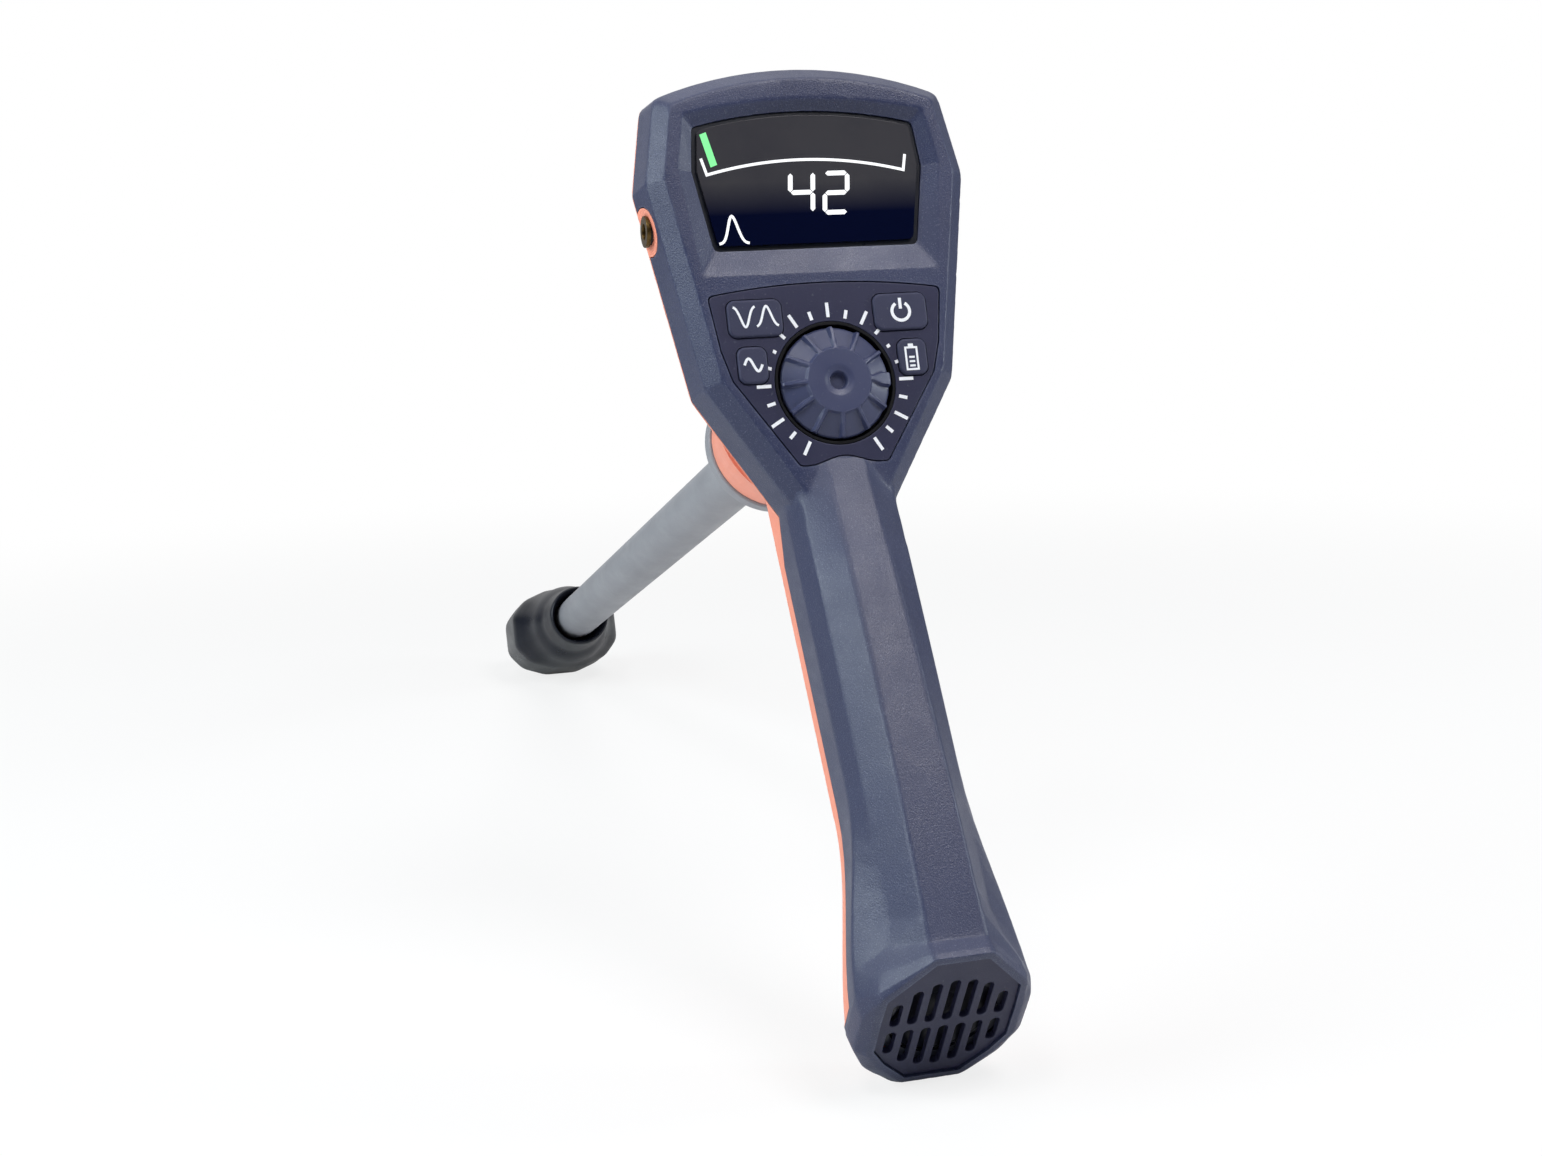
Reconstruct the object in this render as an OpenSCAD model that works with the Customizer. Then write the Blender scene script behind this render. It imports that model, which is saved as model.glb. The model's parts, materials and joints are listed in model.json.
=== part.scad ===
// Hand-held cable locator: a shield-shaped head with a display, a keypad and a dial,
// a faceted grip that ends in a loudspeaker, and a long antenna wand with a rubber boot.
// It stands on the heel of its grip and on the boot, with the head above.
// The pieces are drawn in the head's own axes, x right, y up the face, z out of the face,
// from the middle of the dial on the face, and then set down on the ground.

/* [Head] */
// Half width of the head at its widest
head_half_w = 49.4; // [47:0.1:54]
// Height of the widest place above the dial
head_wide_y = 63.4; // [56:0.1:68]
// Half width of the head at its top corners
head_top_half_w = 44.6; // [43:0.1:47]
// Height of the top corners above the dial
head_top_y = 89; // [87:0.1:96]
// Rise of the arched top above its corners
head_top_rise = 8.5; // [4:0.1:12]
// Half width of the head beside the dial
head_low_half_w = 38.3; // [37:0.1:42]
// Height of the kink beside the dial
head_low_y = 0.8; // [-4:0.1:5]
// Half width of the head at its foot, inside the grip
head_neck_half_w = 12; // [11:0.1:13]
// Height of the head's foot below the dial
head_neck_y = -41.3; // [-43:0.1:-39]
// Width of the bevel round the face
face_bevel_w = 4.5; // [3:0.1:6]
// Depth of the bevel round the face
face_bevel_d = 5; // [3:0.1:8]
// How far the sides spread from the bevel to the joint between the shells
side_spread = 1.6; // [0:0.1:3]
// Depth of the joint between the shells behind the face
seam_d = 17; // [16:0.1:20]
// Depth of the head's back behind the face
back_d = 40; // [36:0.1:48]
// How far the rear shell draws in towards its back
back_taper = 9; // [6:0.1:12]
// Radius of the head's corners
corner_r = 4; // [2:0.1:6]
// Wall of both shells
shell_wall = 2.5; // [2:0.1:3]
// Open joint line between pieces that fit together
joint_gap = 0.3; // [0.2:0.05:0.4]

/* [Window] */
// Half width of the window at its widest
window_half_w = 34.3; // [30:0.1:35]
// Height of the window's widest place
window_wide_y = 66; // [60:0.1:72]
// Half width at the window's top corners
window_top_half_w = 33; // [29:0.1:34]
// Height of the window's top corners
window_top_y = 78.3; // [74:0.1:79]
// Rise of the window's arched top
window_top_rise = 3.9; // [2:0.1:5]
// Half width at the window's foot
window_foot_half_w = 30.3; // [26:0.1:32]
// Height of the window's foot
window_foot_y = 42.9; // [41:0.1:48]
// Width of the sloped surround beside the window
bezel_side = 6.3; // [4:0.1:7]
// Width of the sloped surround above the window
bezel_top = 4.5; // [3:0.1:5]
// Width of the sloped surround below the window
bezel_foot = 9.5; // [6:0.1:10]
// Depth of the sloped surround
bezel_d = 2.6; // [2.4:0.1:3]
// Width of the recess round the window
recess_w = 1.5; // [1:0.1:2]
// Depth of the recess below the sloped surround
recess_d = 1; // [0.8:0.1:1.5]
// Thickness of the window
window_t = 1.2; // [0.8:0.1:1.4]
// Ledge that carries the window's rim
window_ledge = 1.5; // [1:0.1:2]
// Thickness of that ledge
ledge_t = 1.4; // [1:0.1:2]
// Thickness of the window's gasket
gasket_t = 0.4; // [0.3:0.1:0.6]
// Thickness of the display module
display_t = 5.6; // [5:0.1:7]

/* [Keypad] */
// Half width of the keypad at its top corners
pad_half_w = 35.7; // [35:0.1:37]
// Height of the keypad's top corners
pad_top_y = 27.3; // [27:0.1:29]
// Rise of the keypad's arched top
pad_top_rise = 2.9; // [1:0.1:3.5]
// Half width of the keypad half way down
pad_mid_half_w = 33.4; // [32:0.1:34]
// Height of that place above the dial
pad_mid_y = 11; // [9:0.1:13]
// Half width of the keypad beside the dial
pad_low_half_w = 30.8; // [30:0.1:32]
// Height of that place above the dial
pad_low_y = 2; // [0:0.1:4]
// Half width of the keypad at its foot
pad_foot_half_w = 13.4; // [12:0.1:15]
// Height of the keypad's foot
pad_foot_y = -24; // [-25:0.1:-23]
// Half width of the notch in the keypad's foot
notch_half_w = 11; // [9:0.1:11.5]
// Rise of the notch
notch_rise = 2.4; // [1:0.1:2.8]
// Thickness of the keypad panel
pad_t = 1.2; // [0.8:0.1:1.5]
// Groove round the keypad panel
pad_groove = 0.35; // [0.2:0.05:0.6]
// Middle of the upper buttons, right and up
key_upper = [22.4, 20.3]; // [0:0.1:40]
// Width and height of the upper buttons
key_upper_size = [16.6, 11.2]; // [6:0.1:17]
// Middle of the lower buttons, right and up
key_lower = [24.6, 6.4]; // [0:0.1:40]
// Width and height of the lower buttons
key_lower_size = [9, 11]; // [6:0.1:11.2]
// Corner radius of the buttons
key_r = 2.6; // [1.5:0.1:3]
// Height of the buttons above the panel
key_rise = 1; // [0.9:0.1:1.6]
// Travel of the buttons
key_travel = 0.8; // [0.5:0.05:0.8]
// Width of the tactile switches
switch_w = 6; // [5:0.1:7]

/* [Dial] */
// Radius of the well round the dial
well_r = 18.4; // [18:0.1:19]
// Wall of the well
well_wall = 0.9; // [0.6:0.1:1]
// Depth of the well's floor below the face
well_d = 5; // [4.6:0.1:5.4]
// Radius of the knob
knob_r = 16.6; // [14:0.1:16.8]
// Height of the knob above the face
knob_h = 4; // [3.5:0.1:6]
// Radius of the knob's flat top
knob_top_r = 9.6; // [8:0.1:11]
// Number of scallops round the knob
knob_scallops = 12; // [8:1:16]
// Radius of the dial's shaft
shaft_r = 3; // [2.5:0.1:3.2]
// Running clearance of the shaft in its bushing
shaft_play = 0.05; // [0.03:0.01:0.08]
// Radius of the potentiometer's body
pot_r = 8.2; // [7:0.1:9]
// Thickness of the circuit board
board_t = 1.6; // [1:0.1:2]

/* [Grip] */
// Angle of the grip's front out of the face
grip_tilt = 19; // [15:0.1:24]
// Height at which the grip's front leaves the head
neck_y = -29.8; // [-31:0.1:-28]
// Height of the grip's front above the face there
neck_z = 3.1; // [2:0.1:4]
// Length of the grip's front
grip_len = 146; // [138:0.5:160]
// Half width of the grip
grip_half_w = 17; // [16.6:0.1:19]
// Depth of the grip
grip_d = 41; // [40:0.1:44]
// Depth of the joint between the shells behind the grip's front
grip_seam_d = 26; // [24:0.1:27]
// Half width of the front facet at the head
facet_half_w = 6; // [5:0.1:8]
// Half width of the front facet at the grip's end
facet_end_half_w = 8.3; // [7:0.1:10]
// Half width over the sloped facets
slope_half_w = 14.5; // [13:0.1:15.5]
// Depth of the sloped facets at the head
slope_d = 5.2; // [4:0.1:7]
// Extra depth of the sloped facets at the grip's end
slope_growth = 6; // [3:0.1:8]
// Depth at which the grip reaches its full width
side_d = 14; // [13:0.1:16]
// Bulge of the grip's front along its length
front_bulge = 2.8; // [1:0.1:4]
// Half width of the flared end
end_half_w = 26; // [24:0.1:28]
// Depth of the flared end
end_d = 52.5; // [50:0.1:56]
// Half width of the end face's front corners
end_corner_half_w = 22; // [20:0.1:23]
// Depth at which the flared end reaches its full width
end_side_d = 20; // [18:0.1:22]
// Rounding of the grip's back
grip_back_r = 10; // [8:0.1:12]
// Rounding of the flared end's back
end_back_r = 18; // [15:0.1:20]
// Rise of the front edge of the flared end
end_lip = 3; // [1:0.1:4]
// Slant of the end face from square
end_slant = 21; // [16:0.1:26]
// Length of the flare
flare_len = 60; // [45:0.5:70]
// Length of the flared end that belongs to the front shell all round
end_wrap = 9; // [7:0.1:14]
// Rounding of the end's lower edge
end_round = 4.5; // [3:0.1:5]
// Length over which that edge turns
end_turn = 2.2; // [1.5:0.1:3]

/* [Loudspeaker] */
// Depth of the grille below the end face
grille_sink = 0.8; // [0.5:0.1:1.5]
// Thickness of the grille
grille_t = 2; // [1.5:0.1:2.5]
// Rim of the end face round the grille
grille_rim = 2.2; // [2:0.1:3]
// Number of slots in each row
slot_count = 7; // [5:2:9]
// Pitch of the slots
slot_pitch = 5; // [4.6:0.1:5.2]
// Width of a slot
slot_w = 2.8; // [2:0.1:3]
// Radius of the circle that the slots fill
slot_field_r = 18.4; // [17:0.1:19]
// Half height of the bar between the two rows
slot_bar = 1.4; // [1:0.1:2]
// Radius of the loudspeaker
speaker_r = 17; // [15:0.1:17.5]
// Depth of the loudspeaker's basket
speaker_d = 6; // [5:0.1:7]

/* [Batteries] */
// Radius of a cell
cell_r = 7.1; // [6.9:0.05:7.1]
// Distance from the neck to the first cell
cell_start = 26; // [25:0.1:28]
// Distance from the last cell to the grip's end
cell_end = 18.8; // [18.5:0.1:22]
// Room between two cells in a row
cell_gap = 1.2; // [1:0.1:1.5]
// Half width of the battery cover
cover_half_w = 11; // [10:0.1:12]

/* [Headphone jack] */
// Height of the jack above the dial
jack_y = 51.4; // [48:0.1:54]
// Depth of the jack behind the face
jack_d = 13.4; // [12.5:0.1:14]
// Radius of the jack's bore
jack_bore_r = 1.8; // [1.75:0.01:1.85]
// Length of the jack's bore
jack_bore_len = 14; // [12:0.1:15]
// Radius of the jack's barrel
jack_r = 3.9; // [3.5:0.1:4.5]
// Radius of the tab that carries the jack
jack_tab_r = 7.2; // [6.5:0.1:7.5]
// How far the tab's middle lies behind the jack
jack_tab_drop = 0.8; // [0.5:0.1:1]

/* [Wand] */
// Height at which the wand's axis crosses the face
wand_y = -1.5; // [-4:0.1:2]
// Lean of the wand towards the grip
wand_tilt = 1.7; // [0:0.1:4]
// Distance from the face to the end of the boss
boss_end = 70; // [64:0.5:80]
// Radius of the boss at its end
boss_r = 21.4; // [19:0.1:21.8]
// Radius of the boss at the head's back
boss_root_r = 29; // [26:0.1:32]
// Radius of the collar
collar_r = 22.4; // [22:0.1:24]
// Length of the collar
collar_len = 10; // [6:0.1:16]
// Radius of the wand tube
tube_r = 10; // [9:0.1:11]
// Wall of the wand tube
tube_wall = 1.5; // [1:0.1:2]
// Clearance round the wand tube
tube_play = 0.1; // [0.05:0.05:0.2]
// Distance from the face to the end of the boot
wand_len = 528; // [420:1:620]
// Length of the boot
boot_len = 78; // [60:0.5:90]
// Half width of the boot
boot_half_w = 26.2; // [24:0.1:30]
// Half height of the boot
boot_half_h = 20; // [18:0.1:24]
// Length of the boot's widest part
boot_wide_len = 33; // [26:0.5:40]
// Chamfer of the boot's end
boot_chamfer = 5; // [3:0.1:6]
// Radius of the boot's front lip
boot_lip_r = 12.8; // [12:0.1:14]
// Radius of the boot where its ring begins
boot_neck_r = 15.8; // [14.5:0.1:16.5]
// Radius of the ring in front of the boot's widest part
boot_ring_r = 19; // [17.5:0.1:19.5]
// Thickness of rubber behind the tube
boot_floor = 9; // [7:0.1:12]
// Radius of the ferrite rod
rod_r = 4; // [3:0.1:5]
// Length of the ferrite rod
rod_len = 160; // [100:1:180]
// Distance from the rod to the tube's end
rod_room = 22; // [15:0.5:30]
// Length of the antenna coil
coil_len = 60; // [30:1:80]

/* [Screws] */
// Radius of the shell screws' threads
screw_r = 1.4; // [1.2:0.1:1.5]
// Radius of the shell screws' heads
screw_head_r = 2.7; // [2.4:0.1:2.8]
// Radius of the posts that take the screws
post_r = 3.4; // [3.2:0.1:3.8]

/* [Hidden] */
$fn = 48;
round_fn = 96;
corner_steps = 3;
eps = 0.02;

navy = [0.22, 0.23, 0.32];
orange = [0.93, 0.55, 0.42];
grey = [0.56, 0.58, 0.61];
black = [0.06, 0.06, 0.07];
steel = [0.72, 0.73, 0.75];
brass = [0.75, 0.6, 0.3];
green = [0.1, 0.35, 0.2];
glass = [0.05, 0.06, 0.09];

// Depths behind the face, from the front
ledge_z = -bezel_d - recess_d;
window_z = ledge_z + gasket_t;
display_z = ledge_z - ledge_t;
board_z = display_z - display_t;
stem_z = -6.3;
switch_z = stem_z - key_travel - 0.1;
well_floor_z = -well_d;
pot_z = -well_d - 1.2;

// Far enough to cut through the whole object
reach = grip_len + wand_len;

// Places along the grip: s runs down the grip's front, v goes back from it
function grip_point(s, v) = [neck_y - s * cos(grip_tilt) - v * sin(grip_tilt),
    neck_z + s * sin(grip_tilt) - v * cos(grip_tilt)];
function grip_end(v) = grip_len + v * tan(end_slant);
// Places along the wand: w runs out from the face, r goes down from its axis
function wand_point(w, r) = [wand_y - w * sin(wand_tilt) - r * cos(wand_tilt),
    -w * cos(wand_tilt) + r * sin(wand_tilt)];

// The ground touches the heel of the grip and the lower edge of the boot
turn_cut = end_round * 0.3;
turn_share = 1 - end_turn / grip_len;
heel_d = end_d - turn_cut;
heel = grip_point(turn_share * grip_end(heel_d), heel_d);
foot = wand_point(wand_len - boot_chamfer, boot_half_h);
lean = atan2(foot[0] - heel[0], heel[1] - foot[1]);
function height(p) = p[0] * cos(lean) + p[1] * sin(lean);
function setback(p) = p[0] * sin(lean) - p[1] * cos(lean);
front_y = setback(grip_point(grip_end(-end_lip), -end_lip));
back_y = max(setback(wand_point(wand_len, boot_chamfer - boot_half_h)),
    setback(wand_point(wand_len - boot_chamfer, -boot_half_h)));

module placed() {
    translate([0, -(front_y + back_y) / 2, -height(heel)])
        rotate([90 - lean, 0, 0])
            children();
}

// Axes on the grip's front: y towards the head, z out of the front
module on_grip() {
    translate([0, neck_y, neck_z]) rotate([-grip_tilt, 0, 0]) children();
}

// Axes in the middle of the end face: z out of the end, y towards the grip's front
end_mid_d = (end_d - end_lip) / 2;
module on_end() {
    on_grip()
        translate([0, -grip_end(end_mid_d), -end_mid_d])
            rotate([90 - end_slant, 0, 0])
                children();
}

// Axes along the wand: z out from the face towards the boot
module on_wand(w = 0) {
    translate([0, wand_y, 0]) rotate([180 - wand_tilt, 0, 0]) translate([0, 0, w]) children();
}

// Axes at the jack's mouth: z out of the head's left side
widest_d = seam_d + 1;
jack_wall_x = head_half_w
    - (head_half_w - head_low_half_w) * (head_wide_y - jack_y) / (head_wide_y - head_low_y)
    + side_spread * (jack_d - face_bevel_d) / (widest_d - face_bevel_d);
module on_jack() {
    translate([-jack_wall_x, jack_y, -jack_d]) rotate([0, -90, 0]) children();
}

// Inset of a closed outline by a constant distance
function edge_normal(a, b) = let(d = (b - a) / norm(b - a)) [-d[1], d[0]];
function inset_ring(p, t) =
    [for (i = [0 : len(p) - 1])
        let(n = len(p), m = edge_normal(p[(i + n - 1) % n], p[i]) + edge_normal(p[i], p[(i + 1) % n]))
        p[i] + t * 2 * m / (m * m)];
// The corners of an outline whose places are listed are rounded
function bend(a, b, c, r) =
    let(
        u = (a - b) / norm(a - b), w = (c - b) / norm(c - b),
        cut = min(r / tan(acos(u * w) / 2), norm(a - b) * 0.45, norm(c - b) * 0.45))
    [for (i = [0 : corner_steps]) let(k = i / corner_steps)
        (1 - k) * (1 - k) * (b + cut * u) + 2 * k * (1 - k) * b + k * k * (b + cut * w)];
function softened(p, corners, r) =
    let(n = len(p))
    [for (i = [0 : n - 1]) each
        len(search(i, corners)) > 0 ? bend(p[(i + n - 1) % n], p[i], p[(i + 1) % n], r) : [p[i]]];

// Outlines in the plane of the face: an arched top, then the left side down and the right side up
arch_steps = 14;
function arch(half_w, y, rise) =
    let(r = (half_w * half_w + rise * rise) / (2 * rise), a = asin(half_w / r))
    [for (i = [0 : arch_steps]) let(t = a - 2 * a * i / arch_steps) [r * sin(t), y + rise - r + r * cos(t)]];
function mirrored(side) = concat(side, [for (i = [len(side) - 1 : -1 : 0]) [-side[i][0], side[i][1]]]);
function shield(half_w, y, rise, side, foot = []) = concat(
    arch(half_w, y, rise), [for (q = side) [-q[0], q[1]]], foot, [for (i = [len(side) - 1 : -1 : 0]) side[i]]);
function shield_corners(sides, foot = 0) = concat(
    [0, arch_steps], [for (i = [1 : sides]) arch_steps + i],
    [for (i = [1 : sides]) arch_steps + sides + foot + i]);

function head_ring(inset) =
    softened(
        inset_ring(
            shield(head_top_half_w, head_top_y, head_top_rise,
                [[head_half_w, head_wide_y], [head_low_half_w, head_low_y], [head_neck_half_w, head_neck_y]]),
            inset),
        shield_corners(3), corner_r);

// The window's outline, with more to the sides, above and below, and inset
window_corner_r = 2;
function window_ring(side, top, low, inset) =
    softened(
        inset_ring(
            shield(window_top_half_w + side * 0.7, window_top_y + top, window_top_rise,
                [[window_half_w + side, window_wide_y], [window_foot_half_w + side, window_foot_y - low]]),
            inset),
        shield_corners(2), window_corner_r);
module window_outline(grow = 0) {
    polygon(window_ring(0, 0, 0, -grow));
}

notch_steps = 12;
pad_corner_r = 1.8;
module pad_outline(grow = 0) {
    notch = [for (i = [0 : notch_steps]) let(x = notch_half_w * (2 * i / notch_steps - 1))
        [x, pad_foot_y + notch_rise * (1 + cos(180 * x / notch_half_w)) / 2]];
    polygon(
        softened(
            inset_ring(
                shield(pad_half_w, pad_top_y, pad_top_rise,
                    [[pad_mid_half_w, pad_mid_y], [pad_low_half_w, pad_low_y], [pad_foot_half_w, pad_foot_y]],
                    notch),
                -grow),
            shield_corners(3, notch_steps + 1), pad_corner_r));
}

module key_outline(size, grow = 0) {
    r = key_r + grow;
    w = size[0] / 2 - key_r;
    h = size[1] / 2 - key_r;
    for (x = [-w, w], y = [-h, h])
        translate([x, y]) circle(r);
    square([2 * w, size[1] + 2 * grow], center = true);
    square([size[0] + 2 * grow, 2 * h], center = true);
}

// A slab of a flat outline between two depths
module slab(low, high) {
    translate([0, 0, low]) linear_extrude(high - low) children();
}

// A solid through rings of as many points each
module loft(rings) {
    n = len(rings[0]);
    m = len(rings);
    sides = [for (i = [0 : m - 2], j = [0 : n - 1])
        let(a = i * n + j, b = i * n + (j + 1) % n)
        each [[a, b + n, a + n], [a, b, b + n]]];
    caps = [[for (j = [n - 1 : -1 : 0]) j], [for (j = [0 : n - 1]) (m - 1) * n + j]];
    polyhedron([for (ring = rings) each ring], concat(sides, caps));
}
function at_depth(ring, z) = [for (p = ring) [p[0], p[1], z]];

// The head is widest a little behind the joint between the shells
module head_solid(inset) {
    loft([
        at_depth(head_ring(face_bevel_w + inset * 0.4), -inset),
        at_depth(head_ring(inset), -face_bevel_d),
        at_depth(head_ring(inset - side_spread), -widest_d),
        at_depth(head_ring(back_taper + inset), inset - back_d)]);
}

// The grip is lofted from rings of points that change along it
function ease(t) = let(c = min(1, max(0, t))) c * c * (3 - 2 * c);
function mix(a, b, t) = a + (b - a) * t;
function bulge(s) = 4 * front_bulge * (s / grip_len) * (1 - s / grip_len);
function flare(s, length) = ease((s - grip_len + length) / length);
function side_points(s) =
    let(
        f = flare(s, flare_len), late = flare(s, flare_len / 3), edge = flare(s, flare_len / 8),
        u = max(0, s) / grip_len,
        w = mix(grip_half_w, end_half_w, f), d = mix(grip_d, end_d, f), r = mix(grip_back_r, end_back_r, f))
    [
        [mix(facet_half_w, facet_end_half_w, u), -mix(bulge(s), end_lip, edge)],
        [mix(slope_half_w, end_corner_half_w, late), slope_d + slope_growth * u * u],
        [w, mix(side_d, end_side_d, f)],
        [w, d - r],
        [w - r * 0.25, d - r * 0.45],
        [w - r * 0.8, d]
    ];
// The sections are slanted, so the depth of the back at a distance down the front is found in two steps
function back_depth(share) = side_points(share * grip_len)[5][1];
function grip_back(s) = back_depth(s / grip_end(back_depth(s / grip_end(grip_d))));
// The lower edge of the end is rounded, and its front edge is crisp
round_share = [0, 0.2, 1, 1, 1, 1];
function rounded_side(s, r) =
    let(p = side_points(s))
    [for (i = [0 : 5])
        let(cut = r * round_share[i])
        [p[i][0] - (i < 5 ? cut : cut * 0.6), i < 3 ? p[i][1] : i == 3 ? p[i][1] - cut * 0.3 : p[i][1] - cut]];
function grip_ring(share, wall, r) =
    let(s = share * grip_len, ring = inset_ring(mirrored(rounded_side(s, r)), wall))
    [for (p = ring) [p[0], -(share * grip_end(p[1])), -p[1]]];
grip_steps = 24;
grip_start = -0.16;
function loft_shares(last) = [for (i = [0 : grip_steps]) mix(grip_start, last, i / grip_steps)];

module grip_solid() {
    full_share = turn_share - end_round / grip_len;
    on_grip()
        loft(concat(
            [for (k = loft_shares(full_share)) grip_ring(k, 0, 0)],
            [grip_ring(turn_share, 0, turn_cut)],
            [grip_ring(1, 0, end_round)]));
}

module grip_hollow() {
    on_grip()
        loft([for (k = loft_shares(1 - (grille_t + grille_sink + 1) / grip_len)) grip_ring(k, shell_wall, 0)]);
}

module boss_solid(inset) {
    root = back_d - 8;
    on_wand(root)
        cylinder(r1 = boss_root_r - inset, r2 = boss_r - inset, h = boss_end - root - inset, $fn = round_fn);
}

module shell_wall_solid() {
    difference() {
        union() {
            head_solid(0);
            grip_solid();
            boss_solid(0);
        }
        head_solid(shell_wall);
        grip_hollow();
        boss_solid(shell_wall);
    }
}

// Everything in front of the joint between the shells, which also takes the grip's whole end
module front_zone(gap) {
    d = seam_d + gap;
    v = grip_seam_d + gap;
    meet = (v * cos(grip_tilt) - d - neck_z) / sin(grip_tilt);
    wrap = grip_len - end_wrap - gap;
    deep = end_d * 2;
    rotate([90, 0, 90])
        translate([0, 0, -head_half_w * 2])
            linear_extrude(head_half_w * 4)
                polygon([
                    [reach, -d], [reach, reach], [-reach, reach],
                    grip_point(reach, deep), grip_point(wrap + deep * tan(end_slant), deep),
                    grip_point(wrap + v * tan(end_slant), v), grip_point(meet, v)]);
}

module jack_tab(grow) {
    on_jack() translate([-jack_tab_drop, 0, -10]) cylinder(r = jack_tab_r + grow, h = 20, $fn = round_fn);
}

// Screw places: two beside the display, two below it and one at the neck of the grip
beside_display = window_half_w + window_ledge + post_r + 1.5;
below_display = window_foot_y - post_r - 2.5;
head_screws = [[-beside_display, window_wide_y - 4], [beside_display, window_wide_y - 4],
    [-window_foot_half_w + 4, below_display], [window_foot_half_w - 4, below_display]];
neck_screw = 8;
module at_head_screws() {
    for (p = head_screws) translate([p[0], p[1], 0]) children();
}
module at_neck_screw() {
    on_grip() translate([0, -neck_screw, 0]) children();
}

// A post from one depth up to another, for a screw
module post(low, high) {
    translate([0, 0, low]) cylinder(r = post_r, h = high - low);
}
module front_posts() {
    at_head_screws() post(-seam_d, -shell_wall * 0.7);
    at_neck_screw() post(-grip_seam_d, -shell_wall / 2);
}
module front_post_holes() {
    at_head_screws() translate([0, 0, -seam_d - 1]) cylinder(r = screw_r, h = seam_d - shell_wall - 2);
    at_neck_screw() translate([0, 0, -grip_seam_d - 1]) cylinder(r = screw_r, h = grip_seam_d - shell_wall - 2);
}

// The screws' heads lie in sinks in the rear shell, deeper in the head, whose back slopes
sink_d = 7;
head_sink_d = 12;
module rear_posts() {
    intersection() {
        at_head_screws() post(-back_d, -seam_d - joint_gap);
        head_solid(0);
    }
    at_neck_screw() post(1 - grip_back(neck_screw), -grip_seam_d - joint_gap);
}
module screw_way(back, sink) {
    translate([0, 0, -back - 5]) cylinder(r = screw_r + 0.15, h = back);
    translate([0, 0, -back - 5]) cylinder(r = screw_head_r + 0.2, h = sink + 5);
}
module rear_post_holes() {
    at_head_screws() screw_way(back_d, head_sink_d);
    at_neck_screw() screw_way(grip_back(neck_screw), sink_d);
}

module key_places() {
    translate([-key_upper[0], key_upper[1]]) key_outline(key_upper_size, joint_gap);
    translate([key_upper[0], key_upper[1]]) key_outline(key_upper_size, joint_gap);
    translate([-key_lower[0], key_lower[1]]) key_outline(key_lower_size, joint_gap);
    translate([key_lower[0], key_lower[1]]) key_outline(key_lower_size, joint_gap);
}

// The sloped surround of the window, as it is cut from the face
module bezel_slope() {
    loft([
        at_depth(window_ring(bezel_side, bezel_top, bezel_foot, 0), 0.01),
        at_depth(window_ring(0, 0, 0, -recess_w - 0.1), -bezel_d)]);
}

module end_outline(inset) {
    ring = [for (p = inset_ring(mirrored(rounded_side(grip_len, end_round)), inset))
        [p[0], (end_mid_d - p[1]) / cos(end_slant)]];
    polygon(ring);
}

module front_shell() {
    color(navy)
        placed()
            difference() {
                union() {
                    difference() {
                        intersection() {
                            shell_wall_solid();
                            front_zone(0);
                        }
                        jack_tab(joint_gap);
                    }
                    slab(display_z, -shell_wall / 2)
                        polygon(window_ring(bezel_side - 1, bezel_top - 1, bezel_foot - 4, 0));
                    front_posts();
                }
                front_post_holes();
                bezel_slope();
                slab(ledge_z, 0) window_outline(recess_w);
                slab(display_z - 1, 0) window_outline(-window_ledge);
                slab(-pad_t, 1) pad_outline(pad_groove);
                slab(-seam_d, 1) key_places();
                translate([0, 0, -seam_d]) cylinder(r = well_r + 0.1, h = seam_d + 1, $fn = round_fn);
                on_end() slab(-grille_t - grille_sink - 4, 1) end_outline(grille_rim);
            }
}

module cover_zone(grow) {
    from = cell_start - 3 - grow;
    to = cover_screw_s + 3.6 + grow;
    on_grip()
        translate([-cover_half_w - grow, -to, -grip_d - 12])
            cube([2 * (cover_half_w + grow), to - from, 12 + shell_wall + 4]);
}

module rear_shell() {
    color(orange)
        placed()
            difference() {
                union() {
                    difference() {
                        shell_wall_solid();
                        difference() {
                            front_zone(joint_gap);
                            jack_tab(0);
                        }
                    }
                    rear_posts();
                }
                rear_post_holes();
                cover_zone(joint_gap);
                on_wand(back_d) cylinder(r = tube_r + tube_play, h = boss_end, $fn = round_fn);
                on_jack() translate([0, 0, -10]) cylinder(r = jack_r + 0.1, h = 20);
                on_jack() cylinder(r = jack_nut_r + 0.3, h = 10);
            }
}

module keypad_panel() {
    color(navy)
        placed()
            difference() {
                slab(-pad_t, 0) pad_outline();
                slab(-pad_t - 1, 1) key_places();
                translate([0, 0, -pad_t - 1]) cylinder(r = well_r + 0.1, h = pad_t + 2, $fn = round_fn);
            }
}

module key(place, size) {
    back = -shell_wall - joint_gap;
    color(navy)
        placed()
            translate([place[0], place[1], 0]) {
                slab(back, key_rise) key_outline(size);
                slab(back - 0.8, back) key_outline(size, 0.9);
                translate([0, 0, stem_z]) cylinder(r = 2, h = back - 0.8 - stem_z + eps);
            }
}
module peak_null_button() { key([-key_upper[0], key_upper[1]], key_upper_size); }
module power_button() { key(key_upper, key_upper_size); }
module frequency_button() { key([-key_lower[0], key_lower[1]], key_lower_size); }
module battery_button() { key(key_lower, key_lower_size); }

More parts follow.
